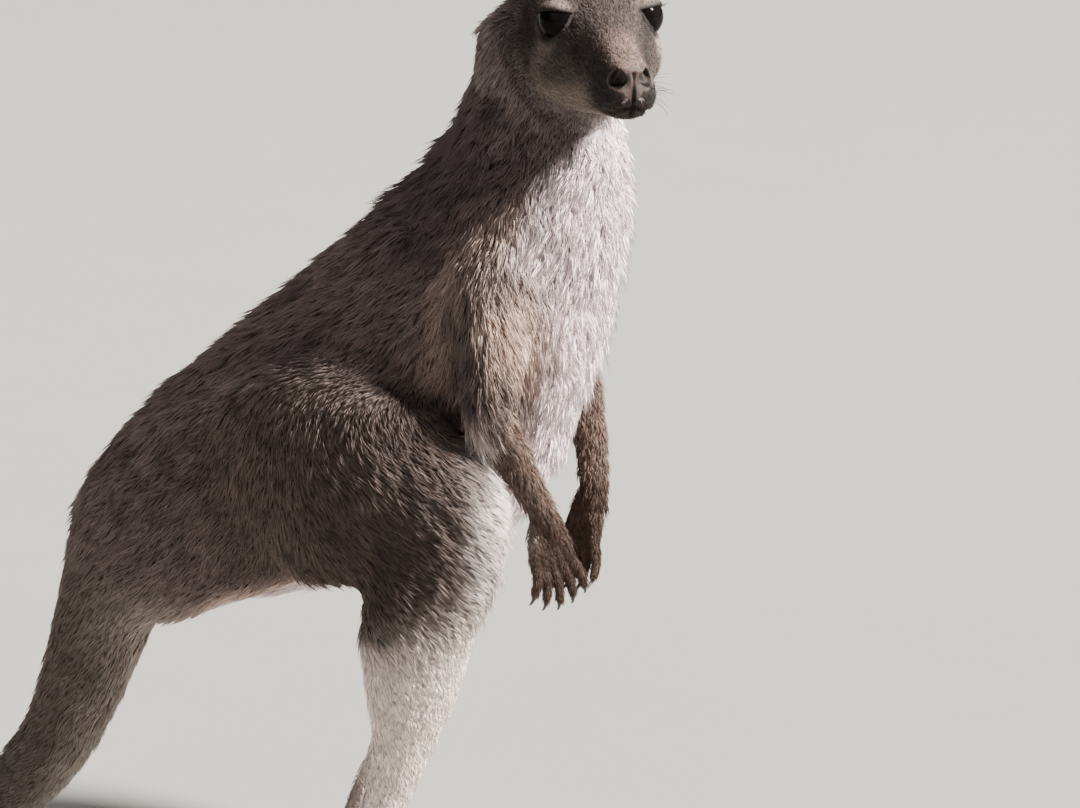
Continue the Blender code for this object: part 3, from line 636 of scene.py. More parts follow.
# A vertex's weight says how freely it may be merged.
clay_piece = place("clay_piece", clay)
around_head = in_head(spots_of(clay))
kept = (around_head > np.array(KEPT_LOW)).all(axis=1) & (around_head < np.array(KEPT_HIGH)).all(axis=1)
merging = clay_piece.vertex_groups.new(name="merging")
merging.add([int(row) for row in np.nonzero(~kept)[0]], 1.0, "REPLACE")
reducer = clay_piece.modifiers.new("fewer", "DECIMATE")
reducer.vertex_group = merging.name
clay.calc_loop_triangles()
reducer.ratio = SKIN_FACES / len(clay.loop_triangles)
skin_mesh = baked(clay_piece)
arm_tree = BVHTree.FromPolygons([vertex.co for vertex in arm_clay.vertices],
                                [list(polygon.vertices) for polygon in arm_clay.polygons])
arms = place("arms", arm_clay)
skin_mesh = worked(skin_mesh, ("BOOLEAN", {"operation": "UNION", "object": arms}))
bpy.data.objects.remove(arms, do_unlink=True)

# The union can leave a loose sliver, so only the largest connected piece is kept.
form = as_form(skin_mesh)
unseen = set(form.verts)
largest = set()
while unseen:
    island = {unseen.pop()}
    front = list(island)
    while front:
        for edge in front.pop().link_edges:
            for vertex in edge.verts:
                if vertex in unseen:
                    unseen.remove(vertex)
                    island.add(vertex)
                    front.append(vertex)
    if len(island) > len(largest):
        largest = island
bmesh.ops.delete(form, geom=[vertex for vertex in form.verts if vertex not in largest], context="VERTS")
form.to_mesh(skin_mesh)
form.free()

for zone, reach in FINE_ZONES:
    form = as_form(skin_mesh)
    zone_at = head_place @ Vector(zone)
    chosen = {edge for face in form.faces if (face.calc_center_median() - zone_at).length < reach
              for edge in face.edges}
    order = sorted(chosen, key=lambda edge: edge.index)
    bmesh.ops.subdivide_edges(form, edges=order, cuts=1, use_grid_fill=True)
    bmesh.ops.triangulate(form, faces=form.faces)
    form.to_mesh(skin_mesh)
    form.free()
skin_mesh.name = "skin"


# ---------------------------------------------------------------- Body regions
# The coat's depth, length, colour and lie change over the body as they do on the live animal.
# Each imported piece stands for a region, and the regions run into each other over a few centimetres.
REGION_BLUR = 26
# The skin belongs to a hand where the clay of its arm lies so near, from a little below the wrist.
HAND_NEAR = 0.0015
WRIST_DROP = 0.006
# How widely the head runs into the neck and ears, and how little the finer zones of the face.
JOIN_WIDTH = 12.0
JOIN_ROUNDS = 110
FACE_ROUNDS = 2
# The soles stay this far off the floor.
FLOOR_CLEAR = 0.0003
# Each region: how deep the skin lies in the coat, and how long the hair is.
COAT = {
    "head": (0.0022, 0.0062), "ear": (0.0006, 0.0055), "neck": (0.0055, 0.0135),
    "chest": (0.0075, 0.0200), "belly": (0.0070, 0.0190), "rump": (0.0065, 0.0180),
    "tail_1": (0.0055, 0.0150), "tail_2": (0.0042, 0.0120), "tail_3": (0.0030, 0.0095),
    "tail_4": (0.0022, 0.0080), "thigh": (0.0055, 0.0155), "shank": (0.0032, 0.0095),
    "foot": (0.0014, 0.0050), "upper_arm": (0.0050, 0.0160), "forearm": (0.0006, 0.0100),
    "hand": (0.0004, 0.0055),
}


def coat_of(name):
    """A region's depth and length of coat, by the start of its name."""
    return COAT[next(start for start in sorted(COAT, key=len, reverse=True) if name.startswith(start))]


def neighbours(mesh):
    """For each point its neighbours in a row: their numbers, and where each point's own begin."""
    pairs = np.empty(len(mesh.edges) * 2, int)
    mesh.edges.foreach_get("vertices", pairs)
    pairs = pairs.reshape(-1, 2)
    both = np.concatenate([pairs, pairs[:, ::-1]])
    both = both[np.argsort(both[:, 0], kind="stable")]
    starts = np.searchsorted(both[:, 0], np.arange(len(mesh.vertices)))
    counts = np.bincount(both[:, 0], minlength=len(mesh.vertices))
    return both[:, 1], starts, counts


def spread(values, beside, rounds):
    """Values on the points, each mixed with its neighbours' mean, many times over."""
    others, starts, counts = beside
    for _ in range(rounds):
        mean = np.add.reduceat(values[others], starts, axis=0) / counts[:, None]
        values = (values + mean) / 2
    return values


def facing(mesh):
    """The way each point of the mesh faces."""
    ways = np.empty(len(mesh.vertices) * 3)
    mesh.vertex_normals.foreach_get("vector", ways)
    return ways.reshape(-1, 3)


def step(values, start, end):
    """0 below start, 1 above end and a smooth step between."""
    t = np.clip((values - start) / (end - start), 0.0, 1.0)
    return t * t * (3 - 2 * t)


def line_gap(points, path):
    """Each point's distance from a path of straight stretches."""
    best = np.full(len(points), 1e9)
    for start, end in zip(path, path[1:]):
        a = np.array(start, float)
        run = np.array(end, float) - a
        along = np.clip(((points - a) @ run) / max(run @ run, 1e-12), 0.0, 1.0)
        best = np.minimum(best, np.linalg.norm(points - a - along[:, None] * run, axis=1))
    return best


region_spots = []
region_faces = []
region_of_face = []
for number, name in enumerate(flesh_nodes):
    mesh = frame["nodes"][name].data
    first = len(region_spots)
    region_spots += [vertex.co.copy() for vertex in mesh.vertices]
    region_faces += [[first + i for i in polygon.vertices] for polygon in mesh.polygons]
    region_of_face += [number] * len(mesh.polygons)
packed_body = BVHTree.FromPolygons(region_spots, region_faces)
spots = spots_of(skin_mesh)
nearest = [region_of_face[packed_body.find_nearest(Vector(spot))[2]] for spot in spots]
for side in ("l", "r"):
    line = forearm_line(side)
    own = line_gap(spots, line) < max(FOREARM_RADII) + ARM_CLEAR / 3
    number = flesh_nodes.index("forearm_" + side)
    nearest = [number if mine else other for mine, other in zip(own, nearest)]
    number = flesh_nodes.index("hand_" + side)
    low = (spots[:, 2] < line[-1].z - WRIST_DROP) & (spots[:, 1] * line[-1].y > 0)
    for row in np.nonzero(low)[0]:
        if arm_tree.find_nearest(Vector(spots[row]), HAND_NEAR)[0] is not None:
            nearest[row] = number
beside = neighbours(skin_mesh)
share = spread(np.eye(len(flesh_nodes))[nearest], beside, REGION_BLUR)
in_region = {name: share[:, number] for number, name in enumerate(flesh_nodes)}


def together(*starts):
    """How much each point belongs to the regions whose names start so."""
    return sum(in_region[name] for name in flesh_nodes if name.startswith(starts))


depth = sum(in_region[name] * coat_of(name)[0] for name in flesh_nodes)
nap = sum(in_region[name] * coat_of(name)[1] for name in flesh_nodes)
spots = spots - facing(skin_mesh) * depth[:, None]
# The head runs into the neck and the ears without a step, and the finer zones without a ridge.
join = np.clip(JOIN_WIDTH * together("head") * together("neck", "ear"), 0.0, 1.0)
spots += (spread(spots, beside, JOIN_ROUNDS) - spots) * join[:, None]
spots += (spread(spots, beside, FACE_ROUNDS) - spots) * together("head")[:, None]
spots[:, 2] = np.maximum(spots[:, 2], FLOOR_CLEAR)


# ---------------------------------------------------------------- Face in the clay
# The maker presses the fine forms into the fused clay with a loop and a needle: the lids round each
# eye, the nostrils, the split lip, the mouth and the furrow before the eye.
EYE_RADIUS = 0.0150
LID_THICK = 0.0013
LID_FILLET = 0.0022
EYE_WAY = Vector((0.55, 0.83, 0.09))
EYE_REACH = 0.0275
# The opening between the lids: half length, height of its corners on the ball, and how far it
# reaches above and below them. The lower lid hangs lowest behind its middle.
LID_HALF = 0.0140
LID_RISE = 0.0042
LID_UP = 0.0034
LID_DOWN = 0.0165
LID_SKEW = 0.76
LID_TILT = 11.0
# The lids run out into the face over the last share of their reach, on the side that faces out.
LID_BLEND = 0.72
LID_SIDE = (-0.15, 0.25)
# Between the lids the clay is sunk behind the glass, with a narrow step along their edges.
SUNK_STEP = (-0.0001, 0.0007)
SUNK_DEPTH = 0.0030
# The fold over the upper lid: shorter and higher than the lid by these shares, its distance from it,
# its depth and width, and where it fades along the eye.
FOLD_SHORTER = 0.86
FOLD_HIGHER = 1.16
FOLD_OFF = 0.0042
FOLD_DEEP = 0.0011
FOLD_WIDE = 0.0010
FOLD_FADE = (0.0125, 0.0080)
# Each nostril: a wide hollow in the bare skin, with the hole itself at its outer side.
NOSTRIL = ((0.0872, 0.0085, -0.0262), (0.0835, 0.0125, -0.0240))
NOSTRIL_HOLE = (0.0840, 0.0120, -0.0250)
NOSTRIL_REACH = 0.0056
NOSTRIL_DEPTH = 0.0085
NOSTRIL_WAY = (0.80, 0.50, 0.0)
HOLLOW_SHARE = 0.4
HOLE_SHARE = 0.6
HOLE_STEP = (0.0076, 0.0044)
# The corners of the eye run on as bare dark lines, the inner one as a furrow towards the nose.
OUTER_LINE = ((-0.0155, 0.0395, 0.0045), (-0.0215, 0.0415, 0.0040))
TEAR_LINE = ((0.0105, 0.0275, 0.0020), (0.0165, 0.0262, -0.0020))
LIP_SPLIT = (
    (0.0875, 0.0, -0.0215), (0.0882, 0.0, -0.0300), (0.0872, 0.0, -0.0400), (0.0835, 0.0, -0.0480),
    (0.0795, 0.0, -0.0526),
)
MOUTH = (
    (0.0850, 0.0, -0.0455), (0.0832, 0.0075, -0.0478), (0.0765, 0.0135, -0.0505),
    (0.0650, 0.0165, -0.0520), (0.0500, 0.0185, -0.0520), (0.0430, 0.0200, -0.0500),
)
# Each crease: how wide and how deep it is pressed.
MOUTH_CREASE = (0.0015, 0.0030)
TEAR_CREASE = (0.0020, 0.0012)
SPLIT_CREASE = (0.0012, 0.0024)
# The upper lip swells a little over the mouth: how far back and up, how wide and how high.
LIP_SWELL = (0.0010, 0.0034, 0.0026, 0.0008)
# Low swellings and hollows of the face, the same on both sides: middle, reach and height.
FACE_SWELLS = (
    ((-0.0050, 0.0260, 0.0130), 0.0120, 0.0042),
    ((0.0180, 0.0260, -0.0170), 0.0130, 0.0022),
    ((0.0700, 0.0200, -0.0400), 0.0120, 0.0012),
    ((0.0560, 0.0000, -0.0620), 0.0130, 0.0008),
    ((0.0280, 0.0240, -0.0120), 0.0110, -0.0016),
    ((0.0850, 0.0105, -0.0195), 0.0060, 0.0011),
    ((-0.0300, 0.0400, -0.0080), 0.0160, -0.0020),
    ((0.0200, 0.0330, -0.0300), 0.0160, 0.0010),
    ((0.0550, 0.0160, -0.0120), 0.0140, -0.0010),
)


def bell(distance, reach):
    """1 at no distance, falling softly to almost nothing at twice the reach."""
    return np.exp(-(distance / reach) ** 2)


def mirrored(path, hand):
    """A path of the head's left side, on this side of it: 1 is the left, -1 the right."""
    return [(x, hand * y, z) for x, y, z in path]


def eye_axes(hand):
    """Out of the eye, forward along the line of its corners, and up."""
    out = Vector((EYE_WAY[0], hand * EYE_WAY[1], EYE_WAY[2])).normalized()
    ahead = Vector((1.0, 0.0, math.tan(math.radians(LID_TILT))))
    ahead = (ahead - out * ahead.dot(out)).normalized()
    up = out.cross(ahead) * (1 if hand < 0 else -1)
    return out, ahead, up


def lid_edge(along, upper):
    """Height of a lid's edge at a place along the eye, from corner to corner."""
    t = np.clip((along / LID_HALF + 1) / 2, 0.0, 1.0)
    if upper:
        return LID_RISE + LID_UP * np.sin(math.pi * t) ** 0.6
    return LID_RISE - LID_DOWN * np.sin(math.pi * t ** LID_SKEW) ** 0.44


def lid_line(hand, upper, radius):
    """A lid's edge from the outer corner to the inner one, on a ball of this radius about the eye."""
    at = Vector((EYE_SPOT[0], hand * EYE_SPOT[1], EYE_SPOT[2]))
    out, ahead, up = eye_axes(hand)
    line = []
    for along in LID_HALF * np.sin(np.linspace(-math.pi / 2, math.pi / 2, 33)):
        rise = float(lid_edge(np.array(along), upper))
        over = math.sqrt(max(EYE_RADIUS ** 2 - along ** 2 - rise ** 2, 0.0))
        line.append(at + (ahead * along + up * rise + out * over).normalized() * radius)
    return line


def creased(points, path, wide, deep):
    """The points with a groove pressed along a path, against the way the surface faces."""
    return points - ways * (bell(line_gap(points, path), wide) * deep)[:, None]


def press_eye(points, hand):
    """Lids drawn over the eyeball from the brow and cheek, with a fold over the upper one."""
    at = np.array(EYE_SPOT) * (1, hand, 1)
    out, ahead, up = (np.array(way) for way in eye_axes(hand))
    away = points - at
    reach = np.linalg.norm(away, axis=1)
    along, rise, proud = away @ ahead, away @ up, away @ out
    # Where the head's surface meets the ball, seen from its middle.
    scale = EYE_RADIUS / np.maximum(reach, 1e-6)
    along, rise = along * scale, rise * scale
    facing_out = step(proud / np.maximum(reach, 1e-6), *LID_SIDE)
    near = step(reach, EYE_REACH, EYE_REACH * LID_BLEND) * facing_out
    over = reach - EYE_RADIUS - LID_THICK
    lid = EYE_RADIUS + LID_THICK + (over + np.sqrt(over ** 2 + LID_FILLET ** 2)) / 2
    shape = reach + (lid - reach) * near
    above = lid_edge(along, True) - rise
    below = rise - lid_edge(along, False)
    inside = np.minimum(above, below)
    inside = np.where(np.abs(along) < LID_HALF, inside, -1.0)
    sunk = step(inside, *SUNK_STEP) * (proud > 0)
    shape = shape + (EYE_RADIUS - SUNK_DEPTH - shape) * sunk
    fold = np.abs(rise - lid_edge(along * FOLD_SHORTER, True) * FOLD_HIGHER - FOLD_OFF)
    fade = step(np.abs(along), *FOLD_FADE)
    shape -= FOLD_DEEP * bell(fold, FOLD_WIDE) * near * (1 - sunk) * fade * (proud > 0)
    return at + away * (shape / np.maximum(reach, 1e-6))[:, None]


face = in_head(spots)
skin_mesh.vertices.foreach_set("co", spots.ravel())
skin_mesh.update()
ways = facing(skin_mesh) @ np.array(head_turn)
for hand in (-1, 1):
    for at, reach, height in FACE_SWELLS:
        half = 0.5 if at[1] == 0.0 else 1.0
        hill = bell(np.linalg.norm(face - np.array(at) * (1, hand, 1), axis=1), reach)
        face += ways * (hill * height * half)[:, None]
for hand in (-1, 1):
    face = creased(face, mirrored(MOUTH, hand), *MOUTH_CREASE)
    back, up, wide, high = LIP_SWELL
    face = creased(face, [(x - back, y, z + up) for x, y, z in mirrored(MOUTH, hand)], wide, -high)
    hollow = bell(line_gap(face, mirrored(NOSTRIL, hand)), NOSTRIL_REACH)
    hole = step(np.linalg.norm(face - np.array(NOSTRIL_HOLE) * (1, hand, 1), axis=1), *HOLE_STEP)
    sunk = (HOLLOW_SHARE * hollow + HOLE_SHARE * hole) * NOSTRIL_DEPTH
    face -= np.array([NOSTRIL_WAY]) * (1, hand, 1) * sunk[:, None]
    face = creased(face, mirrored(TEAR_LINE, hand), *TEAR_CREASE)
face = creased(face, LIP_SPLIT, *SPLIT_CREASE)
for hand in (-1, 1):
    face = press_eye(face, hand)
spots = face @ np.array(head_turn).T + np.array(head_at)

skin_mesh.vertices.foreach_set("co", spots.ravel())
skin_mesh.update()
skin_mesh.shade_smooth()
skin = place("skin", skin_mesh)


# ---------------------------------------------------------------- Markings
# Some of these colours are partly painted light and shade, as said where each is laid on.
# A blue-grey female's colours: grey-brown above, peach on the sides and arms, white below, with a
# dark band and a pale line on the muzzle. The maker dyes them on to the skin, and the hair has them too.
# The back, sides and front.
BACK = (0.103, 0.076, 0.078)
NAPE = (0.207, 0.165, 0.158)
FLANK = (0.178, 0.134, 0.129)
PEACH = (0.600, 0.445, 0.370)
WHITE = (0.960, 0.835, 0.855)
# Arms and hands.
TAN = (0.620, 0.455, 0.375)
AGOUTI = (0.117, 0.088, 0.081)
FOREARM = (0.168, 0.113, 0.089)
ARM_SHADE = (0.075, 0.053, 0.046)
PAW = (0.060, 0.036, 0.027)
# Legs and tail.
THIGH = (0.115, 0.085, 0.075)
KNEE = (0.900, 0.800, 0.775)
SHANK = (0.930, 0.810, 0.750)
FOOT = (0.360, 0.290, 0.250)
TAIL = (0.178, 0.145, 0.128)
TAIL_UNDER = (0.440, 0.375, 0.330)
# The head and ears.
FACE = (0.071, 0.053, 0.047)
BRIDGE_AND_SHADE = (0.074, 0.056, 0.053)
MUZZLE_TOP = (0.225, 0.152, 0.128)
THROAT_AND_SHADE = (0.264, 0.220, 0.200)
JAW_LINE = (0.279, 0.225, 0.176)
CHEEK = (0.520, 0.420, 0.365)
LID_BAND = (0.260, 0.200, 0.172)
FACE_BAND = (0.032, 0.025, 0.024)
WHISKER_BED_AND_SHADE = (0.019, 0.015, 0.013)
CHIN = (0.040, 0.028, 0.024)
EAR_BACK = (0.170, 0.132, 0.118)
EAR_LINING = (0.420, 0.310, 0.275)
# The bare skin of the nose, lips and lids.
NOSE = (0.100, 0.068, 0.060)
NOSTRIL_SKIN = (0.050, 0.034, 0.030)
ALAR = (0.170, 0.145, 0.135)
# Near black: painted shade in the nostrils' holes, the mouth and the lip's split.
RECESS_SHADE = (0.006, 0.004, 0.004)
# Pale spots by the lip's split: partly pale lip, partly a painted wet glint.
LIP_SPOT_AND_GLINT = (0.300, 0.250, 0.230)
LID_SKIN = (0.016, 0.012, 0.012)
# Sizes of the coat's large and small patches.
PATCHES = 0.035
FINE_PATCHES = 0.009
# Painted shade in the hollows of the loose coat: their size, share of darkening, how much less on a pale
# coat, and tone.
HOLLOW_SIZE = 0.020
HOLLOW_SHADE_SHARE = 0.66
HOLLOW_PALE = 0.88
HOLLOW_SHADE_TONE = (0.050, 0.038, 0.040)
# A grey-brown patch on each elbow: its middle from the bend, and how far off it ends and is full.
ELBOW_MIDDLE = (-0.012, 0.0, 0.006)
ELBOW_PATCH = (0.046, 0.024)
# Where the white of the front ends on the flank: height and how far forward. Towards the throat the
# edge is set forward, so that there the grey behind it is partly a painted shadow of the head.
WHITE_AND_SHADOW_EDGE = (
    (0.200, 0.050), (0.250, 0.160), (0.371, 0.280), (0.401, 0.292), (0.474, 0.292), (0.498, 0.294),
    (0.554, 0.328), (0.575, 0.345), (0.591, 0.360), (0.620, 0.384), (0.660, 0.414),
)
# Lines of the face, as on the left side of the head, each with its reach.
BAND_LINE = ((0.0130, 0.0300, -0.0050), (0.0450, 0.0235, -0.0210), (0.0760, 0.0140, -0.0300))
BAND_REACH = 0.0080
JAW_PALE = ((0.0480, 0.0215, -0.0480), (0.0050, 0.0340, -0.0540), (-0.0320, 0.0400, -0.0560))
JAW_REACH = 0.0095
BROW_PALE = ((-0.0180, 0.0350, 0.0090), (-0.0030, 0.0370, 0.0150), (0.0120, 0.0290, 0.0110))
BROW_REACH = 0.0068
CHEEK_PALE = ((0.0040, 0.0440, -0.0150), (-0.0080, 0.0460, -0.0300), (-0.0220, 0.0450, -0.0450))
CHEEK_REACH = 0.0090
# The right cheek, turned from the key, has only this share of the pale line: the left cheek's fuller pale is
# painted light.
SHADED_CHEEK_SHARE = 0.30
LIP_SPOT_AND_GLINT_AT = (0.0868, 0.0050, -0.0392)
NOSE_PAD = ((0.0890, 0.0, -0.0220), (0.0895, 0.0, -0.0330))
NOSE_PAD_REACH = 0.0066
# How far the dark skin reaches from the lids, and the painted shade from the mouth and lip's split;
# then the dark skin from the furrow and outer corner of the eye.
LID_DARK = 0.0032
MOUTH_SHADE = 0.0018
SPLIT_SHADE = (0.0014, 0.0028)
TEAR_DARK = 0.0042
OUTER_DARK = 0.0030
# The line up an ear's middle that its hollow side faces, and how bare the lining is.
EAR_MIDDLE = (0.014, 0.0)
LINING_BARE = 0.35

spots = spots_of(skin_mesh)
face = in_head(spots)
face[:, 1] = np.abs(face[:, 1])
ways = spread(facing(skin_mesh), beside, 3)
ways /= np.maximum(np.linalg.norm(ways, axis=1), 1e-6)[:, None]
face_ways = ways @ np.array(head_turn)


def wobble(size, offset=0.0):
    """A soft noise over the body, about -1 to 1, with patches of this size."""
    return np.array([noise.noise(Vector(spot) / size + Vector((offset, 0.0, 0.0))) for spot in spots])


def paint(share_of_new, colour):
    """Mixes a share of a new colour into the coat's."""
    global coat
    coat = coat + (np.array(colour) - coat) * np.clip(share_of_new, 0.0, 1.0)[:, None]


patchy = wobble(PATCHES)
fine_patchy = wobble(FINE_PATCHES, 7.0)
ground_colours = {
    "neck": NAPE, "chest": BACK, "belly": FLANK, "rump": FLANK, "thigh": THIGH, "tail": TAIL, "shank": SHANK,
    "foot": FOOT, "upper_arm": TAN, "forearm": FOREARM, "hand": PAW, "head": FACE, "ear": EAR_BACK,
}
coat = sum(together(start)[:, None] * np.array(colour) for start, colour in ground_colours.items())

# The white front with the peach side behind it. The peach stays low, so that higher up the grey
# meets the white at the painted shadow's edge.
trunk_share = together("neck", "chest", "belly", "rump")
edge_x = np.interp(spots[:, 2], [z for z, x in WHITE_AND_SHADOW_EDGE], [x for z, x in WHITE_AND_SHADOW_EDGE])
forward = spots[:, 0] - edge_x + 0.010 * patchy + 0.004 * fine_patchy
paint(trunk_share * step(forward, -0.045, -0.004) * step(spots[:, 2], 0.570, 0.500), PEACH)
paint(trunk_share * step(forward, -0.012, 0.014), WHITE)

# The arms, darker behind and outside, with dark wrists, and the elbows. On the forearms the darker back
# and outside is painted shade.
paint(together("upper_arm") * step(spots[:, 2] + 0.012 * patchy, 0.470, 0.500), FLANK)
paint(together("upper_arm") * step(-ways[:, 0] + 0.5 * fine_patchy, -0.15, 0.55), AGOUTI)
paint(together("upper_arm") * step(spots[:, 2] + 0.006 * fine_patchy, 0.430, 0.385) * 0.6, AGOUTI)
outer = ways[:, 1] * np.sign(spots[:, 1])
# Painted shade on the back and outer side of each forearm.
arm_shade_side = step(0.8 * outer - ways[:, 0] + 0.4 * fine_patchy, -0.40, 0.35)
paint(together("forearm") * arm_shade_side * 0.85, ARM_SHADE)
paint(together("forearm") * step(spots[:, 2] + 0.008 * patchy, 0.322, 0.292), PAW)
for side in ("l", "r"):
    elbow_gap = np.linalg.norm(spots - np.array(ELBOWS[side]) - ELBOW_MIDDLE, axis=1)
    elbow = step(elbow_gap + 0.006 * fine_patchy, *ELBOW_PATCH) * step(outer + 0.3 * fine_patchy, -0.5, 0.3)
    paint(elbow * (1 - together("thigh", "forearm")) * 0.8, AGOUTI)

# The legs, white inside with pale knees and dark toes, and the tail's pale underside.
thigh = together("thigh")
inner = step(-ways[:, 1] * np.sign(spots[:, 1]), 0.1, 0.6)
paint(thigh * inner, WHITE)
paint(thigh * step(spots[:, 0] + 0.012 * patchy, 0.275, 0.312), KNEE)
tail = together("tail")
paint(tail * step(-ways[:, 2] + 0.25 * patchy, 0.0, 0.7), TAIL_UNDER)
paint(together("foot") * step(spots[:, 0] + 0.010 * patchy, 0.290, 0.335), PAW)

# Painted shade in the hollows between the clumps of the longer coat.
loose = together("neck", "chest", "belly", "rump", "thigh", "upper_arm")
shaded = loose * step(wobble(HOLLOW_SIZE, 21.0) + 0.4 * wobble(HOLLOW_SIZE * 0.45, 33.0), 0.12, 0.50)
paint(shaded * HOLLOW_SHADE_SHARE * (1.0 - HOLLOW_PALE * coat[:, 1]), HOLLOW_SHADE_TONE)

# The face: its dark bridge, the pale lines of jaw, brow and cheek, and the dark band and muzzle.
# The bridge and the sides of the muzzle are partly painted shade, and the left cheek partly painted light.
on_head = together("head")
nx, ny, nz = face.T
# Where the bridge and brow face up they are darker: partly their own colour, partly painted shade.
paint(on_head * step(face_ways[:, 2], 0.35, 0.85) * step(nx, -0.060, -0.010), BRIDGE_AND_SHADE)
# Under the jaw the throat is painted darker than the white below it: partly its own colour, partly painted
# shade under the head.
paint(on_head * step(nz, -0.050, -0.064) * step(nx, 0.046, 0.020), THROAT_AND_SHADE)
paint(on_head * bell(line_gap(face, JAW_PALE), JAW_REACH) ** 0.8 * (0.85 + 0.3 * fine_patchy), JAW_LINE)
paint(on_head * bell(line_gap(face, BROW_PALE), BROW_REACH), LID_BAND)
# The pale line along each cheek is fuller on the left, lit side: there it is partly painted light.
signed_face = in_head(spots)
lit_pale_cheek = SHADED_CHEEK_SHARE + (1.0 - SHADED_CHEEK_SHARE) * step(signed_face[:, 1], 0.0, 0.02)
lit_pale_cheek *= bell(line_gap(face, CHEEK_PALE), CHEEK_REACH)
paint(on_head * lit_pale_cheek * (0.85 + 0.3 * fine_patchy), CHEEK)
# The dark sides of the muzzle: partly their own dark hair, partly painted shade.
muzzle_side = step(nx + 0.006 * fine_patchy, 0.040, 0.062) * step(face_ways[:, 2], 0.75, 0.25)
paint(on_head * muzzle_side, WHISKER_BED_AND_SHADE)
paint(on_head * step(nx + 0.008 * patchy, 0.030, 0.060) * step(face_ways[:, 2], 0.45, 0.85), MUZZLE_TOP)
paint(on_head * bell(line_gap(face, BAND_LINE), BAND_REACH) * (0.9 + 0.3 * fine_patchy), FACE_BAND)
chin = step(nx, 0.050, 0.064) * step(nz, -0.042, -0.049)
paint(on_head * np.maximum(chin, bell(line_gap(face, MOUTH), 0.0030)), CHIN)

# The bare skin: the nose and nostrils, the lips and the lids with the lines at their corners.
nose_pad = on_head * step(line_gap(face, NOSE_PAD) + 0.0006 * fine_patchy, NOSE_PAD_REACH + 0.0012,
                          NOSE_PAD_REACH)
nostril_gap = line_gap(face, NOSTRIL)
nose_pad = np.maximum(nose_pad, on_head * step(nostril_gap, NOSTRIL_REACH * 1.50, NOSTRIL_REACH * 1.30))
paint(nose_pad, NOSE)
paint(on_head * step(nostril_gap, NOSTRIL_REACH * 1.40, NOSTRIL_REACH * 0.90), NOSTRIL_SKIN)
paint(on_head * bell(nostril_gap - NOSTRIL_REACH * 1.42, 0.0008) * step(ny, 0.014, 0.017), ALAR)
# Painted shade in each nostril's hole.
paint(on_head * step(np.linalg.norm(face - np.array(NOSTRIL_HOLE), axis=1), 0.0084, 0.0064), RECESS_SHADE)
mouth_gap = line_gap(face, MOUTH)
# Painted shade in the crease of the mouth.
paint(on_head * bell(mouth_gap, MOUTH_SHADE), RECESS_SHADE)
# A pale spot each side of the lip's split: partly pale lip, partly a painted wet glint.
paint(on_head * step(np.linalg.norm(face - np.array(LIP_SPOT_AND_GLINT_AT), axis=1), 0.0015, 0.0007), LIP_SPOT_AND_GLINT)
split_gap = line_gap(face, LIP_SPLIT)
# Painted shade down the lip's split.
paint(on_head * bell(split_gap, SPLIT_SHADE[0]), RECESS_SHADE)
paint(on_head * bell(line_gap(face, LIP_SPLIT[1:]), SPLIT_SHADE[1]), RECESS_SHADE)
around_eye = np.linalg.norm(face - np.array(EYE_SPOT), axis=1)
lid_gap = np.minimum(*[line_gap(face, [tuple(point) for point in lid_line(1, upper, EYE_RADIUS + LID_THICK)])
                       for upper in (True, False)])
lid_gap = np.where(around_eye < EYE_RADIUS, 0.0, lid_gap)
paint(bell(lid_gap, LID_DARK), LID_SKIN)
paint(on_head * bell(line_gap(face, TEAR_LINE), TEAR_DARK), FACE_BAND)
paint(on_head * bell(line_gap(face, OUTER_LINE), OUTER_DARK), LID_SKIN)

# The hollow side of each ear is lined paler: there the surface faces a line up the ear's middle.
lining = np.zeros(len(spots))
for hand, side in ((-1, "r"), (1, "l")):
    turn = np.array(ear_turn(hand))
    root = np.array(EAR_ROOT) * (1, hand, 1)
    local = (signed_face - root) @ turn
    local_ways = ways @ np.array(head_turn) @ turn
    away = local[:, :2] - EAR_MIDDLE
    inwards = -(away * local_ways[:, :2]).sum(axis=1) / np.maximum(np.linalg.norm(away, axis=1), 1e-6)
    lining = np.maximum(lining, in_region["ear_" + side] * step(inwards, 0.0, 0.5))
paint(together("ear") * lining, EAR_LINING)
leather = np.clip(nose_pad, 0.0, 1.0)
leather = np.maximum(leather, LINING_BARE * lining)


# ---------------------------------------------------------------- Lie and length of the hair
# The hair lies back from the nose, down the neck and limbs and along the tail. It is shortest on the
# nose, lips and lids, and a fringe hangs from each elbow.
# The way it runs in each region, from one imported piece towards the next.
RUNS = (
    ("neck", "head", "chest"), ("chest", "neck", "belly"), ("belly", "chest", "rump"),
    ("rump", "belly", "tail_1"), ("tail_1", "rump", "tail_2"), ("tail_2", "tail_1", "tail_3"),
    ("tail_3", "tail_2", "tail_4"), ("tail_4", "tail_3", "tail_4"),
)
LIMB_RUNS = (
    ("shank", "thigh", "foot"), ("upper_arm", "upper_arm", "forearm"), ("forearm", "forearm", "hand"),
    ("hand", "forearm", "hand"),
)
FOOT_WAY = (1.0, 0.0, -0.05)
HEAD_WAY = (-1.0, 0.0, -0.10)
LIE_ROUNDS = 18
# Length of the face's hair at the nose, how much it grows towards the nape, and where.
FACE_HAIR = 0.0038
NAPE_HAIR = 0.0056
HAIR_GROWS = (0.050, -0.060)
# Shares of the length that are left at the lids, and lost on the nose and in the coat's hollows.
LID_HAIR = 0.40
NOSE_BARE = 0.95
HOLLOW_BARE = 0.30
# The fringe on each elbow: how far behind the bend, how much longer than the rest, and its reach.
ELBOW_BACK = (-0.012, 0.0, 0.0)
ELBOW_FRINGE = 0.5
ELBOW_REACH = 0.035

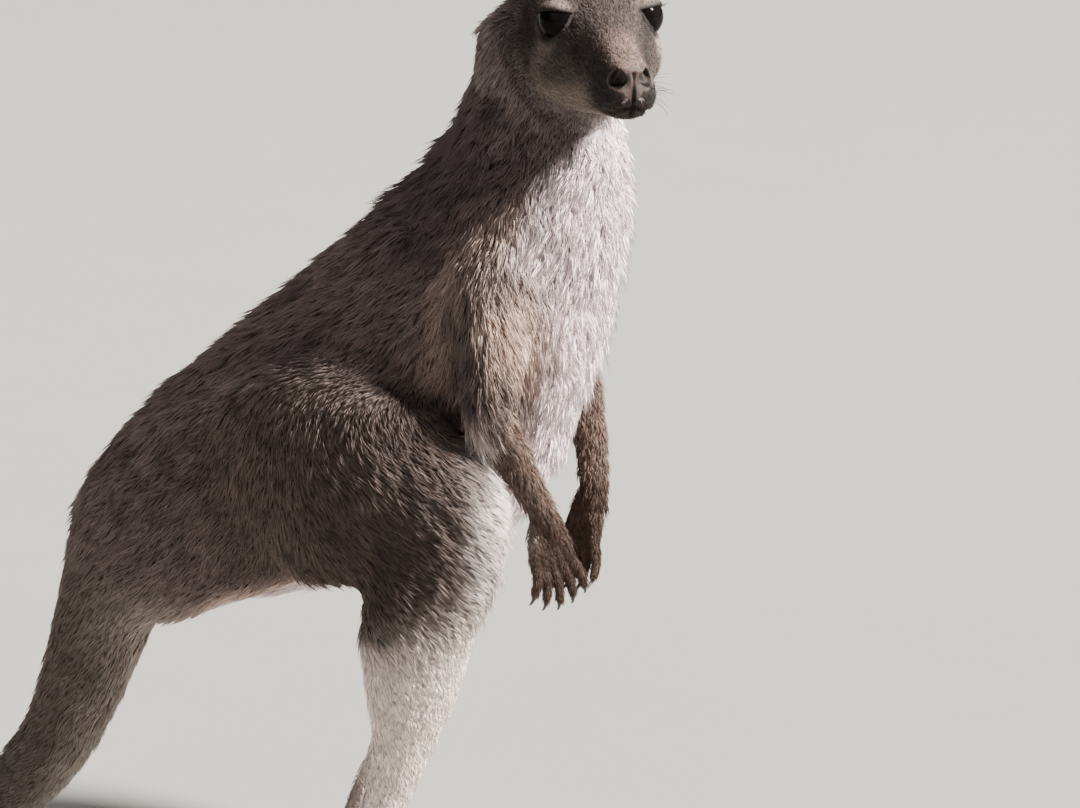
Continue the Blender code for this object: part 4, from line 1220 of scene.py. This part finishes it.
lie = np.zeros((len(spots), 3))
for hand, side in ((-1, "r"), (1, "l")):
    lie += in_region["ear_" + side][:, None] * np.array(head_turn @ ear_turn(hand) @ Vector((0, 0, 1)))
for region, start, end in RUNS:
    lie += in_region[region][:, None] * np.array((middle(end) - middle(start)).normalized())
for region, start, end in LIMB_RUNS:
    for side in ("_l", "_r"):
        run = (middle(end + side) - middle(start + side)).normalized()
        lie += in_region[region + side][:, None] * np.array(run)
# Over the thigh it turns from down and back to forward over the knee.
onward = step(spots[:, 0], 0.060, 0.240) * step(spots[:, 2], 0.425, 0.350)
fan = np.stack([1.4 * onward - 0.6, 0.0 * onward, 0.5 * onward - 0.95], axis=1)
lie += together("thigh")[:, None] * fan / np.linalg.norm(fan, axis=1)[:, None]
lie += together("foot")[:, None] * np.array(FOOT_WAY)
lie += together("head")[:, None] * np.array(head_turn @ Vector(HEAD_WAY).normalized())
lie -= ways * (lie * ways).sum(axis=1)[:, None]
lie = spread(lie, beside, LIE_ROUNDS)
lie -= ways * (lie * ways).sum(axis=1)[:, None]
lie /= np.maximum(np.linalg.norm(lie, axis=1), 1e-6)[:, None]

face_nap = FACE_HAIR + NAPE_HAIR * step(nx, *HAIR_GROWS)
face_nap *= LID_HAIR + (1.0 - LID_HAIR) * step(lid_gap, 0.0010, 0.0120)
nap = nap * (1 - on_head) + face_nap * on_head
nap *= 1.0 - NOSE_BARE * np.clip(nose_pad, 0.0, 1.0)
nap *= 1.0 - HOLLOW_BARE * shaded
for side in ("_l", "_r"):
    elbow = np.array(middle("forearm" + side)) * 0.45 + np.array(middle("upper_arm" + side)) * 0.55
    elbow += ELBOW_BACK
    nap *= 1.0 + ELBOW_FRINGE * bell(np.linalg.norm(spots - elbow, axis=1), ELBOW_REACH)


def keep_on(mesh, name, kind, values, field):
    """Values stored on the mesh's points under a name."""
    attribute = mesh.attributes.new(name, kind, "POINT")
    attribute.data.foreach_set(field, np.ascontiguousarray(values, dtype=np.float32).ravel())


keep_on(skin_mesh, "coat", "FLOAT_COLOR", np.concatenate([coat, np.ones((len(coat), 1))], axis=1), "color")
keep_on(skin_mesh, "leather", "FLOAT", leather, "value")
keep_on(skin_mesh, "nap", "FLOAT", nap, "value")
keep_on(skin_mesh, "lie", "FLOAT_VECTOR", lie, "vector")
keep_on(skin_mesh, "up", "FLOAT_VECTOR", ways, "vector")


# ---------------------------------------------------------------- Skin and undercoat
# The cast skin carries the markings as a dyed felt undercoat that shows between the tufts. It is bare
# on the nose, lips and lids, and on the nose it is pebbled like leather and a little glossier.
UNWRAP_ANGLE = math.radians(66.0)
UNWRAP_MARGIN = 0.002
# Scales of the felt's mottling and streaks and of the leather's pebbles, and the relief's height.
MOTTLING = 160.0
STREAKS = 900.0
PEBBLES = 1100.0
RELIEF = 0.0006
# Under hair as long as this the felt is darker by this share: painted shade under the long hair.
LONG_HAIR = (0.007, 0.016)
FELT_SHADE = 0.25

# It is laid out flat, so that a small patch of it can be named for each tuft.
skin_mesh.uv_layers.new(name="OFBake")
bpy.context.view_layer.objects.active = skin
skin.select_set(True)
bpy.ops.object.mode_set(mode="EDIT")
bpy.ops.mesh.select_all(action="SELECT")
bpy.ops.uv.smart_project(angle_limit=UNWRAP_ANGLE, island_margin=UNWRAP_MARGIN)
bpy.ops.object.mode_set(mode="OBJECT")
skin.select_set(False)

skin_finish, bench = finish_of("skin_and_undercoat")
colour = bench.field("coat", "Color")
bare = bench.field("leather")
spot = bench.spot()
mottling = bench.noise(spot, MOTTLING, 4.0, 0.6)
streaks = bench.noise(spot, STREAKS, 3.0, 0.6)
inputs = {"Vector": spot, "Scale": PEBBLES}
pebbles = bench.add("ShaderNodeTexVoronoi", {"feature": "F1"}, inputs, "Distance")
undercoat = bench.blend(1.0, colour, mottling * 0.5 + 0.6, "MULTIPLY")
undercoat = bench.blend(1.0, undercoat, streaks * 0.7 + 0.55, "MULTIPLY")
cover = bench.field("nap")
# Painted shade: the felt is darker under the long hair.
undercoat = bench.blend(1.0, undercoat, 1.0 - cover.ramp(*LONG_HAIR) * FELT_SHADE, "MULTIPLY")
height = bare * (pebbles * 1.2) + (1.0 - bare) * streaks
bump = bench.relief(height, 0.35, RELIEF)
rough = mottling * 0.1 + 0.78 - bare * 0.28
show(bench, {"Base Color": undercoat, "Roughness": rough, "Normal": bump, "Specular IOR Level": 0.25})
skin_mesh.materials.append(skin_finish)
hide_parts(*flesh_nodes)
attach(skin, "root")


# ---------------------------------------------------------------- Eyes and lid margins
# Museum eyes are blown glass, painted from behind: a dark brown iris round a wide pupil, under a
# clear gloss. The bare black rims of the lids are modelled in wax and lie on the glass.
PUPIL = (0.004, 0.003, 0.003)
IRIS = (0.007, 0.005, 0.005)
IRIS_RIM = (0.004, 0.003, 0.003)
RIM_RADIUS = 0.0004
RIM_PROUD = 0.0005
LASH_COUNT = 13
LASH_LENGTH = 0.0065
LASH_RADIUS = 0.00016
# Where a lash's thickness is set along it, how much it thins, and how far it dips.
LASH_PLACES = (0.0, 0.3, 0.6, 1.0)
LASH_TAPER = 0.8
LASH_DIP = 0.45
# The way of the lashes: shares out of the eye and up, and how much they fan out to the corners.
LASH_WAY = (0.9, 0.45, 0.5)
# Angles in radians from the middle of the gaze: the pupil's edge and the iris's dark rim.
PUPIL_EDGE = (0.38, 0.42)
IRIS_EDGE = (0.60, 0.72)
LID_WAX = (0.012, 0.009, 0.009)


def wax_finish(name, colour, roughness):
    """Dark wax or bristle with a fine grain."""
    finish, bench = finish_of(name)
    spot = bench.spot()
    grain = bench.noise(spot, 1400.0, 3.0)
    tone = bench.blend(1.0, (*colour, 1.0), grain * 0.6 + 0.7, "MULTIPLY")
    bump = bench.relief(grain, 0.3, 0.0002)
    show(bench, {"Base Color": tone, "Roughness": grain * 0.15 + roughness, "Normal": bump,
                 "Specular IOR Level": 0.15})
    return finish


def ride_on_root(piece, slot, *nodes):
    """Fixes a piece of the looks to the model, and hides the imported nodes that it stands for."""
    if nodes:
        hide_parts(*nodes)
    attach(piece, "root")


glass_finish, bench = finish_of("eye_glass")
gaze = bench.field("gaze")
rays = bench.noise(bench.spot(), 1300.0, 2.0)
iris = bench.blend(rays.ramp(0.3, 0.7), (*IRIS, 1.0), (*IRIS_RIM, 1.0))
iris = bench.blend(gaze.ramp(*IRIS_EDGE), iris, (*IRIS_RIM, 1.0))
glass = bench.blend(gaze.ramp(*PUPIL_EDGE), (*PUPIL, 1.0), iris)
show(bench, {"Base Color": glass, "Roughness": rays * 0.02 + 0.09, "Specular IOR Level": 0.05, "IOR": 1.38})
rim_finish = wax_finish("lid_wax", LID_WAX, 0.48)

rim_forms = []
lash_forms = []
for hand, side in ((-1, "r"), (1, "l")):
    at = Vector((EYE_SPOT[0], hand * EYE_SPOT[1], EYE_SPOT[2]))
    out, ahead, up = eye_axes(hand)
    eye_mesh = gather("eye_" + side, [ball(at, (EYE_RADIUS,) * 3, 64, 40)])
    away = (spots_of(eye_mesh) - np.array(at)) / EYE_RADIUS
    eye_mesh.transform(head_place)
    eye_mesh.shade_smooth()
    keep_on(eye_mesh, "gaze", "FLOAT", np.arccos(np.clip(away @ np.array(out), -1, 1)), "value")
    eye_mesh.materials.append(glass_finish)
    ride_on_root(place("eyeball_" + side, eye_mesh), "eye_gloss", "eye_" + side)
    for upper in (True, False):
        edge = [head_place @ point for point in lid_line(hand, upper, EYE_RADIUS + RIM_PROUD)]
        rim_forms.append(swept(edge, [RIM_RADIUS] * len(edge), 8))
        if upper:
            for k in np.linspace(4, 28, LASH_COUNT):
                root = edge[int(k)]
                way = out * LASH_WAY[0] + up * LASH_WAY[1] + ahead * (k - 16) / 16 * LASH_WAY[2]
                fan = head_turn @ way
                dip = head_turn @ up
                bend = [root + fan * LASH_LENGTH * t - dip * LASH_LENGTH * LASH_DIP * t * (1 - t)
                        for t in LASH_PLACES]
                radii = [LASH_RADIUS * (1 - LASH_TAPER * t) for t in LASH_PLACES]
                lash_forms.append(swept(bend, radii, 4))
rims = place("lid_rims", gather("lid_rims", rim_forms))
rims.data.shade_smooth()
rims.data.materials.append(rim_finish)
ride_on_root(rims, "dark_coat")
lashes = place("lashes", gather("lashes", lash_forms))
lashes.data.materials.append(rim_finish)
ride_on_root(lashes, "dark_coat")


# ---------------------------------------------------------------- Claws
# The claws are dark horn, cast in resin from real ones: smooth, finely ridged along their length
# and worn paler in patches. Each is set into the end of its finger or toe.
HORN = (0.030, 0.022, 0.019)
HORN_PALE = (0.110, 0.082, 0.066)
HORN_RIDGES = 1800.0
HORN_PATCHES = 260.0
claw_nodes = sorted(name for name in frame["nodes"] if name.startswith("claw"))
claw_forms = []
for name in claw_nodes:
    form = as_form(frame["nodes"][name].data)
    bmesh.ops.remove_doubles(form, verts=form.verts, dist=WELD_GAP)
    claw_forms.append(form)
claw_mesh = worked(gather("claws", claw_forms), ("SUBSURF", {"levels": 2, "render_levels": 2}))
claw_mesh.shade_smooth()
horn_finish, bench = finish_of("claw_horn")
spot = bench.spot()
ridges = bench.noise(spot, HORN_RIDGES, 3.0)
patches = bench.noise(spot, HORN_PATCHES, 2.0)
horn = bench.blend(patches.ramp(0.45, 0.75), (*HORN, 1.0), (*HORN_PALE, 1.0))
bump = bench.relief(ridges, 0.25, 0.0002)
show(bench, {"Base Color": horn, "Roughness": ridges * 0.2 + 0.3, "Normal": bump})
claw_mesh.materials.append(horn_finish)
ride_on_root(place("claws", claw_mesh), "claw_horn", *claw_nodes)


# ---------------------------------------------------------------- Coat
# The fur is real hair flocked over the skin in tufts that overlap like thatch. It is short and
# close on the face, hands and feet, and long and loose on the chest, flanks and elbows.
TUFT_KINDS = 5
TUFT_BLADES = 8
TUFT_SPREAD = 3.6
# Where a blade is widest along its length, and how far it stands up there.
BLADE_BELLY = 0.42
BLADE_HIGH = 0.030
# How much of the skin's layout one tuft takes its colour from.
PATCH_ACROSS = 0.003
# Roots are strewn this much closer than asked for, and those too near another are dropped.
CROWDING = 2.2
CLUMP = 0.030
# How strongly the clumps swirl, against the unevenness below.
SWIRL = 3.0
# Chances for each tuft: tilt in radians, shares of its lift and unevenness, of its length and width.
TUFT_TILT = (-0.35, 0.35)
TUFT_LIFT = (-1.5, -0.5)
TUFT_RUFFLE = (-0.5, 0.5)
TUFT_LENGTH = (0.65, 1.35)
TUFT_WIDTH = (0.8, 1.2)
# No hair grows where the skin is this much leather, or this near the lids' or lips' edges.
BALD_LEATHER = 0.5
BALD_LIDS = 0.0012
BALD_LIPS = 0.0013
# A few tufts have dark guard hairs.
GUARD_HAIR = (0.05, 0.04, 0.037, 1.0)
FIRST_SEED = 11
# Each piece of coat: its regions, slot, spacing, width of a hair lock, length against the nap,
# lift off the skin and unevenness in degrees.
PIECES = (
    ("coat_face", ("head",), "face_coat", 0.00214, 0.00036, 1.15, 3.5, 9.0),
    ("coat_ears", ("ear",), "face_coat", 0.0022, 0.00036, 0.85, 4.0, 9.0),
    ("coat_neck", ("neck",), "grey_coat", 0.0027, 0.00050, 1.00, 8.0, 18.0),
    ("coat_chest", ("chest",), "white_coat", 0.0033, 0.00080, 1.15, 19.0, 42.0),
    ("coat_belly", ("belly",), "white_coat", 0.0036, 0.00076, 1.10, 13.0, 28.0),
    ("coat_rump", ("rump",), "grey_coat", 0.0036, 0.00076, 1.00, 11.0, 25.0),
    ("coat_thigh_r", ("thigh_r",), "buff_coat", 0.0035, 0.00070, 1.05, 9.0, 20.0),
    ("coat_thigh_l", ("thigh_l",), "buff_coat", 0.0035, 0.00070, 1.05, 9.0, 20.0),
    ("coat_arms", ("upper_arm", "forearm"), "tan_coat", 0.0026, 0.00054, 1.10, 11.0, 24.0),
    ("coat_leg_r", ("shank_r", "foot_r"), "white_coat", 0.0032, 0.00056, 1.00, 8.0, 14.0),
    ("coat_leg_l", ("shank_l", "foot_l"), "white_coat", 0.0032, 0.00056, 1.00, 8.0, 14.0),
    ("coat_paws", ("hand",), "dark_coat", 0.0018, 0.00034, 1.00, 5.0, 10.0),
    ("coat_tail", ("tail",), "grey_coat", 0.0038, 0.00064, 1.00, 8.0, 18.0),
)


def tuft(kind):
    """Spindle-shaped blades from about one root, a unit long on +x, with y in widths of a blade."""
    dice = np.random.default_rng(100 + kind)
    points, faces, marks = [], [], []
    for blade in range(TUFT_BLADES):
        yaw = math.radians(dice.normal(0.0, 9.0))
        long_ = dice.uniform(0.72, 1.0)
        start = Vector((dice.uniform(-0.26, 0.16), dice.uniform(-TUFT_SPREAD, TUFT_SPREAD), -0.05))
        rise = dice.uniform(0.02, 0.10)
        run = Vector((math.cos(yaw), math.sin(yaw) * 6.0, 0.0))
        belly_at = start + run * BLADE_BELLY * long_ + Vector((0, dice.normal(0.0, 0.6), rise * 0.9 + 0.03))
        tip = start + run * long_ + Vector((0, dice.normal(0.0, 0.5), rise + 0.02))
        first = len(points)
        points += [start, belly_at + Vector((0, -0.5, 0)), belly_at + Vector((0, 0.5, 0)),
                   belly_at + Vector((0, 0, BLADE_HIGH)), tip]
        faces += [[first + i for i in corners] for corners in
                  ((0, 2, 1), (0, 3, 2), (0, 1, 3), (4, 1, 2), (4, 2, 3), (4, 3, 1))]
        stations = (0.0, BLADE_BELLY, BLADE_BELLY, BLADE_BELLY, 1.0)
        marks += [(along, (blade + 0.5) / TUFT_BLADES, 0.0) for along in stations]
    mesh = bpy.data.meshes.new("tuft_%d" % kind)
    mesh.from_pydata(points, [], faces, shade_flat=False)
    mesh.materials.append(hair_finish)
    keep_on(mesh, "blade", "FLOAT_VECTOR", marks, "vector")
    return mesh


hair_finish, bench = finish_of("coat_hair")
colour = bench.field("coat", "Color")
tint = bench.field("tint")
blade = bench.field("blade", "Vector")
split = bench.tree.nodes.new("ShaderNodeSeparateXYZ")
bench.tree.links.new(blade.socket, split.inputs[0])
along, lock = Wire(bench, split.outputs[0]), Wire(bench, split.outputs[1])
spot = bench.spot()
drift = bench.noise(spot, 55.0, 3.0)
light = along.ramp(0.0, 0.60) * 0.55 + 0.62
light = light * (tint * 0.44 + 0.80) * (lock * 0.30 + 0.86) * (drift * 0.5 + 0.78)
hair_colour = bench.blend(1.0, colour, light, "MULTIPLY")
hair_colour = bench.blend(tint.ramp(0.86, 0.94) * along * 0.55, hair_colour, GUARD_HAIR)
show(bench, {"Base Color": hair_colour, "Roughness": tint * 0.12 + 0.62, "Specular IOR Level": 0.22})

tuft_store = bpy.data.collections.new("tufts")
for kind in range(TUFT_KINDS):
    tuft_store.objects.link(bpy.data.objects.new("tuft_%d" % kind, tuft(kind)))

growth = bpy.data.node_groups.new("coat_growth", "GeometryNodeTree")
SOCKETS = (
    ("Skin", "Geometry"), ("Patch", "Int"), ("Spacing", "Float"), ("Width", "Float"), ("Length", "Float"),
    ("Lift", "Float"), ("Ruffle", "Float"), ("Seed", "Int"), ("Tufts", "Collection"), ("Finish", "Material"),
)
for name, kind in SOCKETS:
    growth.interface.new_socket(name=name, in_out="INPUT", socket_type="NodeSocket" + kind)
growth.interface.new_socket(name="Coat", in_out="OUTPUT", socket_type="NodeSocketGeometry")
bench = Bench(growth)
entry = growth.nodes.new("NodeGroupInput")
given = {socket.name: Wire(bench, socket) for socket in entry.outputs if socket.name}


def named(name, kind):
    """A field kept on the mesh under this name."""
    return bench.add("GeometryNodeInputNamedAttribute", {"data_type": kind}, {"Name": name}, "Attribute")


def chance(low, high, seed):
    """A number for each tuft at random between these."""
    inputs = {"Min": low, "Max": high, "Seed": given["Seed"] + seed}
    return bench.add("FunctionNodeRandomValue", {"data_type": "FLOAT"}, inputs, "Value")


def stored(geometry, name, kind, value, domain="POINT"):
    """The geometry with a field kept on it."""
    settings = {"data_type": kind, "domain": domain}
    inputs = {"Geometry": geometry, "Name": name, "Value": value}
    return bench.add("GeometryNodeStoreNamedAttribute", settings, inputs, "Geometry")


# The roots of this piece's tufts, strewn over its own patch of the skin.
here = bench.add("FunctionNodeCompare", {"data_type": "INT", "operation": "EQUAL"},
                 {"A": named("patch", "INT"), "B": given["Patch"]}, "Result")
ground = bench.add("GeometryNodeSeparateGeometry", {"domain": "FACE"},
                   {"Geometry": given["Skin"], "Selection": here}, "Selection")
crowd = given["Spacing"] ** -2.0 * CROWDING
inputs = {"Mesh": ground, "Distance Min": given["Spacing"], "Density Max": crowd, "Seed": given["Seed"]}
roots = bench.add("GeometryNodeDistributePointsOnFaces", {"distribute_method": "POISSON"}, inputs, "Points")
roots = stored(roots, "root_uv", "FLOAT_VECTOR", named("OFBake", "FLOAT_VECTOR"))
roots = stored(roots, "tint", "FLOAT", chance(0.0, 1.0, 1))

# Each tuft lies along the lie of the coat, swirled in clumps, and leans a little by chance.
spot = bench.add("GeometryNodeInputPosition", {}, {})
swirl = bench.vectors("SUBTRACT", bench.noise(spot, 1.0 / CLUMP, 3.0, 0.6, 1), (0.5, 0.5, 0.5))
swirl = bench.vectors("MULTIPLY", swirl, bench.add("ShaderNodeCombineXYZ", {}, {
    axis: given["Ruffle"] * SWIRL for axis in ("X", "Y", "Z")}))
way = bench.vectors("ADD", named("lie", "FLOAT_VECTOR"), swirl)
pose = bench.add("FunctionNodeAxesToRotation", {"primary_axis": "Z", "secondary_axis": "X"},
                 {"Primary Axis": named("up", "FLOAT_VECTOR"), "Secondary Axis": way}, "Rotation")
lean = bench.add("ShaderNodeCombineXYZ", {}, {
    "X": chance(*TUFT_TILT, 2),
    "Y": given["Lift"] * chance(*TUFT_LIFT, 3),
    "Z": given["Ruffle"] * chance(*TUFT_RUFFLE, 4),
})
lean = bench.add("FunctionNodeEulerToRotation", {}, {"Euler": lean}, "Rotation")
inputs = {"Rotation": pose, "Rotate By": lean}
pose = bench.add("FunctionNodeRotateRotation", {"rotation_space": "LOCAL"}, inputs, "Rotation")
long_ = named("nap", "FLOAT") * given["Length"] * chance(*TUFT_LENGTH, 5)
wide = given["Width"] * chance(*TUFT_WIDTH, 6)
size = bench.add("ShaderNodeCombineXYZ", {}, {"X": long_, "Y": wide, "Z": long_})

# One of the tufts is set on each root, and takes its colour from a small patch of skin beneath.
inputs = {"Collection": given["Tufts"], "Separate Children": True, "Reset Children": True}
store = bench.add("GeometryNodeCollectionInfo", {}, inputs, "Instances")
which = bench.add("FunctionNodeRandomValue", {"data_type": "INT"},
                  {"Min": 0, "Max": TUFT_KINDS - 1, "Seed": given["Seed"] + 7}, "Value")
inputs = {
    "Points": roots, "Instance": store, "Pick Instance": True, "Instance Index": which, "Rotation": pose,
    "Scale": size,
}
hair = bench.add("GeometryNodeInstanceOnPoints", {}, inputs, "Instances")
hair = bench.add("GeometryNodeRealizeInstances", {}, {"Geometry": hair}, "Geometry")
shift = bench.vectors("SUBTRACT", named("blade", "FLOAT_VECTOR"), (0.5, 0.5, 0.0))
shift = bench.vectors("MULTIPLY", shift, (PATCH_ACROSS, PATCH_ACROSS, 0.0))
hair_uv = bench.vectors("ADD", named("root_uv", "FLOAT_VECTOR"), shift)
hair = stored(hair, "OFBake", "FLOAT2", hair_uv, "CORNER")
hair = bench.add("GeometryNodeSetMaterial", {}, {"Geometry": hair, "Material": given["Finish"]}, "Geometry")
bench.add("NodeGroupOutput", {}, {"Coat": hair})

# Each face of the skin belongs to the piece of coat whose regions have the most of it.
claims = np.stack([together(*starts) for _, starts, *_ in PIECES], axis=1)
corner_of_face = np.empty(len(skin_mesh.polygons) * 3, int)
skin_mesh.polygons.foreach_get("vertices", corner_of_face)
first_corner = corner_of_face.reshape(-1, 3)[:, 0]
patch_of_face = claims[first_corner].argmax(axis=1)
lip_gap = np.minimum(mouth_gap, split_gap) + 1 - on_head
bald = np.clip(nose_pad, 0, 1)[first_corner] > BALD_LEATHER
bald |= lid_gap[first_corner] < BALD_LIDS
bald |= lip_gap[first_corner] < BALD_LIPS
patch_of_face[bald] = len(PIECES)
patch = skin_mesh.attributes.new("patch", "INT", "FACE")
patch.data.foreach_set("value", patch_of_face.astype(np.int32))

KEPT_FIELDS = ("coat", "tint", "blade", "OFBake", "material_index")
for number, (name, starts, slot, spacing, width, length, lift, ruffle) in enumerate(PIECES):
    grower = place("grower", skin_mesh)
    modifier = grower.modifiers.new("growth", "NODES")
    modifier.node_group = growth
    values = {
        "Patch": number, "Spacing": spacing, "Width": width, "Length": length,
        "Lift": math.radians(lift), "Ruffle": math.radians(ruffle), "Seed": FIRST_SEED + number,
        "Tufts": tuft_store, "Finish": hair_finish,
    }
    for item in growth.interface.items_tree:
        if item.in_out == "INPUT" and item.name in values:
            modifier[item.identifier] = values[item.name]
    coat_mesh = baked(grower)
    coat_mesh.name = name
    for field in [kept.name for kept in coat_mesh.attributes if kept.name not in KEPT_FIELDS]:
        attribute = coat_mesh.attributes[field]
        if not (attribute.is_required or attribute.is_internal):
            coat_mesh.attributes.remove(attribute)
    ride_on_root(place(name, coat_mesh), slot)
for pattern in list(tuft_store.objects):
    bpy.data.objects.remove(pattern, do_unlink=True)
bpy.data.collections.remove(tuft_store)


# ---------------------------------------------------------------- Whiskers
# Stiff tapering bristles, set by hand into the pads of the upper lip in rows, with two over each eye.
# They sweep out and back along the face, and bend down under their own weight.
WHISKER_RADIUS = 0.00022
WHISKER_TAPER = 0.8
WHISKER_TONE = (0.030, 0.024, 0.022)
# Places along a whisker, from just under the skin to its tip.
WHISKER_PLACES = (-0.04, 0.2, 0.4, 0.6, 0.8, 1.0)
# The way it leaves the skin: back and down, the share straight out, and how uneven by chance.
WHISKER_SWEEP = Vector((-0.55, 0.0, -0.12))
WHISKER_OUT = 0.9
WHISKER_UNEVEN = 0.12
WHISKER_BEND = Vector((-0.35, 0.0, -0.30))
# Each row: first root, last root, how many, and the length of the longest.
WHISKER_ROWS = (
    ((0.080, 0.0155, -0.0335), (0.060, 0.0215, -0.0300), 5, 0.024),
    ((0.080, 0.0165, -0.0385), (0.058, 0.0220, -0.0370), 6, 0.030),
    ((0.078, 0.0165, -0.0435), (0.056, 0.0220, -0.0435), 5, 0.027),
    ((0.004, 0.0300, 0.0200), (-0.004, 0.0330, 0.0200), 2, 0.016),
)
face_spots = [Vector(spot) for spot in in_head(spots)]
face_tree = BVHTree.FromPolygons(face_spots, corner_of_face.reshape(-1, 3).tolist())
dice = np.random.default_rng(31)
whisker_forms = []
for start, end, count, longest in WHISKER_ROWS:
    for hand in (-1, 1):
        for share_along in np.linspace(0.0, 1.0, count):
            root = Vector(start).lerp(Vector(end), share_along)
            root, way, *_ = face_tree.find_nearest(Vector((root.x, hand * root.y, root.z)))
            chance_way = Vector(dice.normal(0.0, WHISKER_UNEVEN, 3))
            sweep = (WHISKER_SWEEP + way * WHISKER_OUT + chance_way).normalized()
            reach = longest * (0.55 + 0.45 * share_along) * dice.uniform(0.85, 1.1)
            run = [root + sweep * reach * t + WHISKER_BEND * reach * t * t for t in WHISKER_PLACES]
            radii = [WHISKER_RADIUS * (1.0 - WHISKER_TAPER * max(t, 0.0)) for t in WHISKER_PLACES]
            whisker_forms.append(swept([head_place @ point for point in run], radii, 4))
whiskers = place("whiskers", gather("whiskers", whisker_forms))
whiskers.data.materials.append(wax_finish("whisker_bristle", WHISKER_TONE, 0.35))
ride_on_root(whiskers, "dark_coat")

low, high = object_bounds()
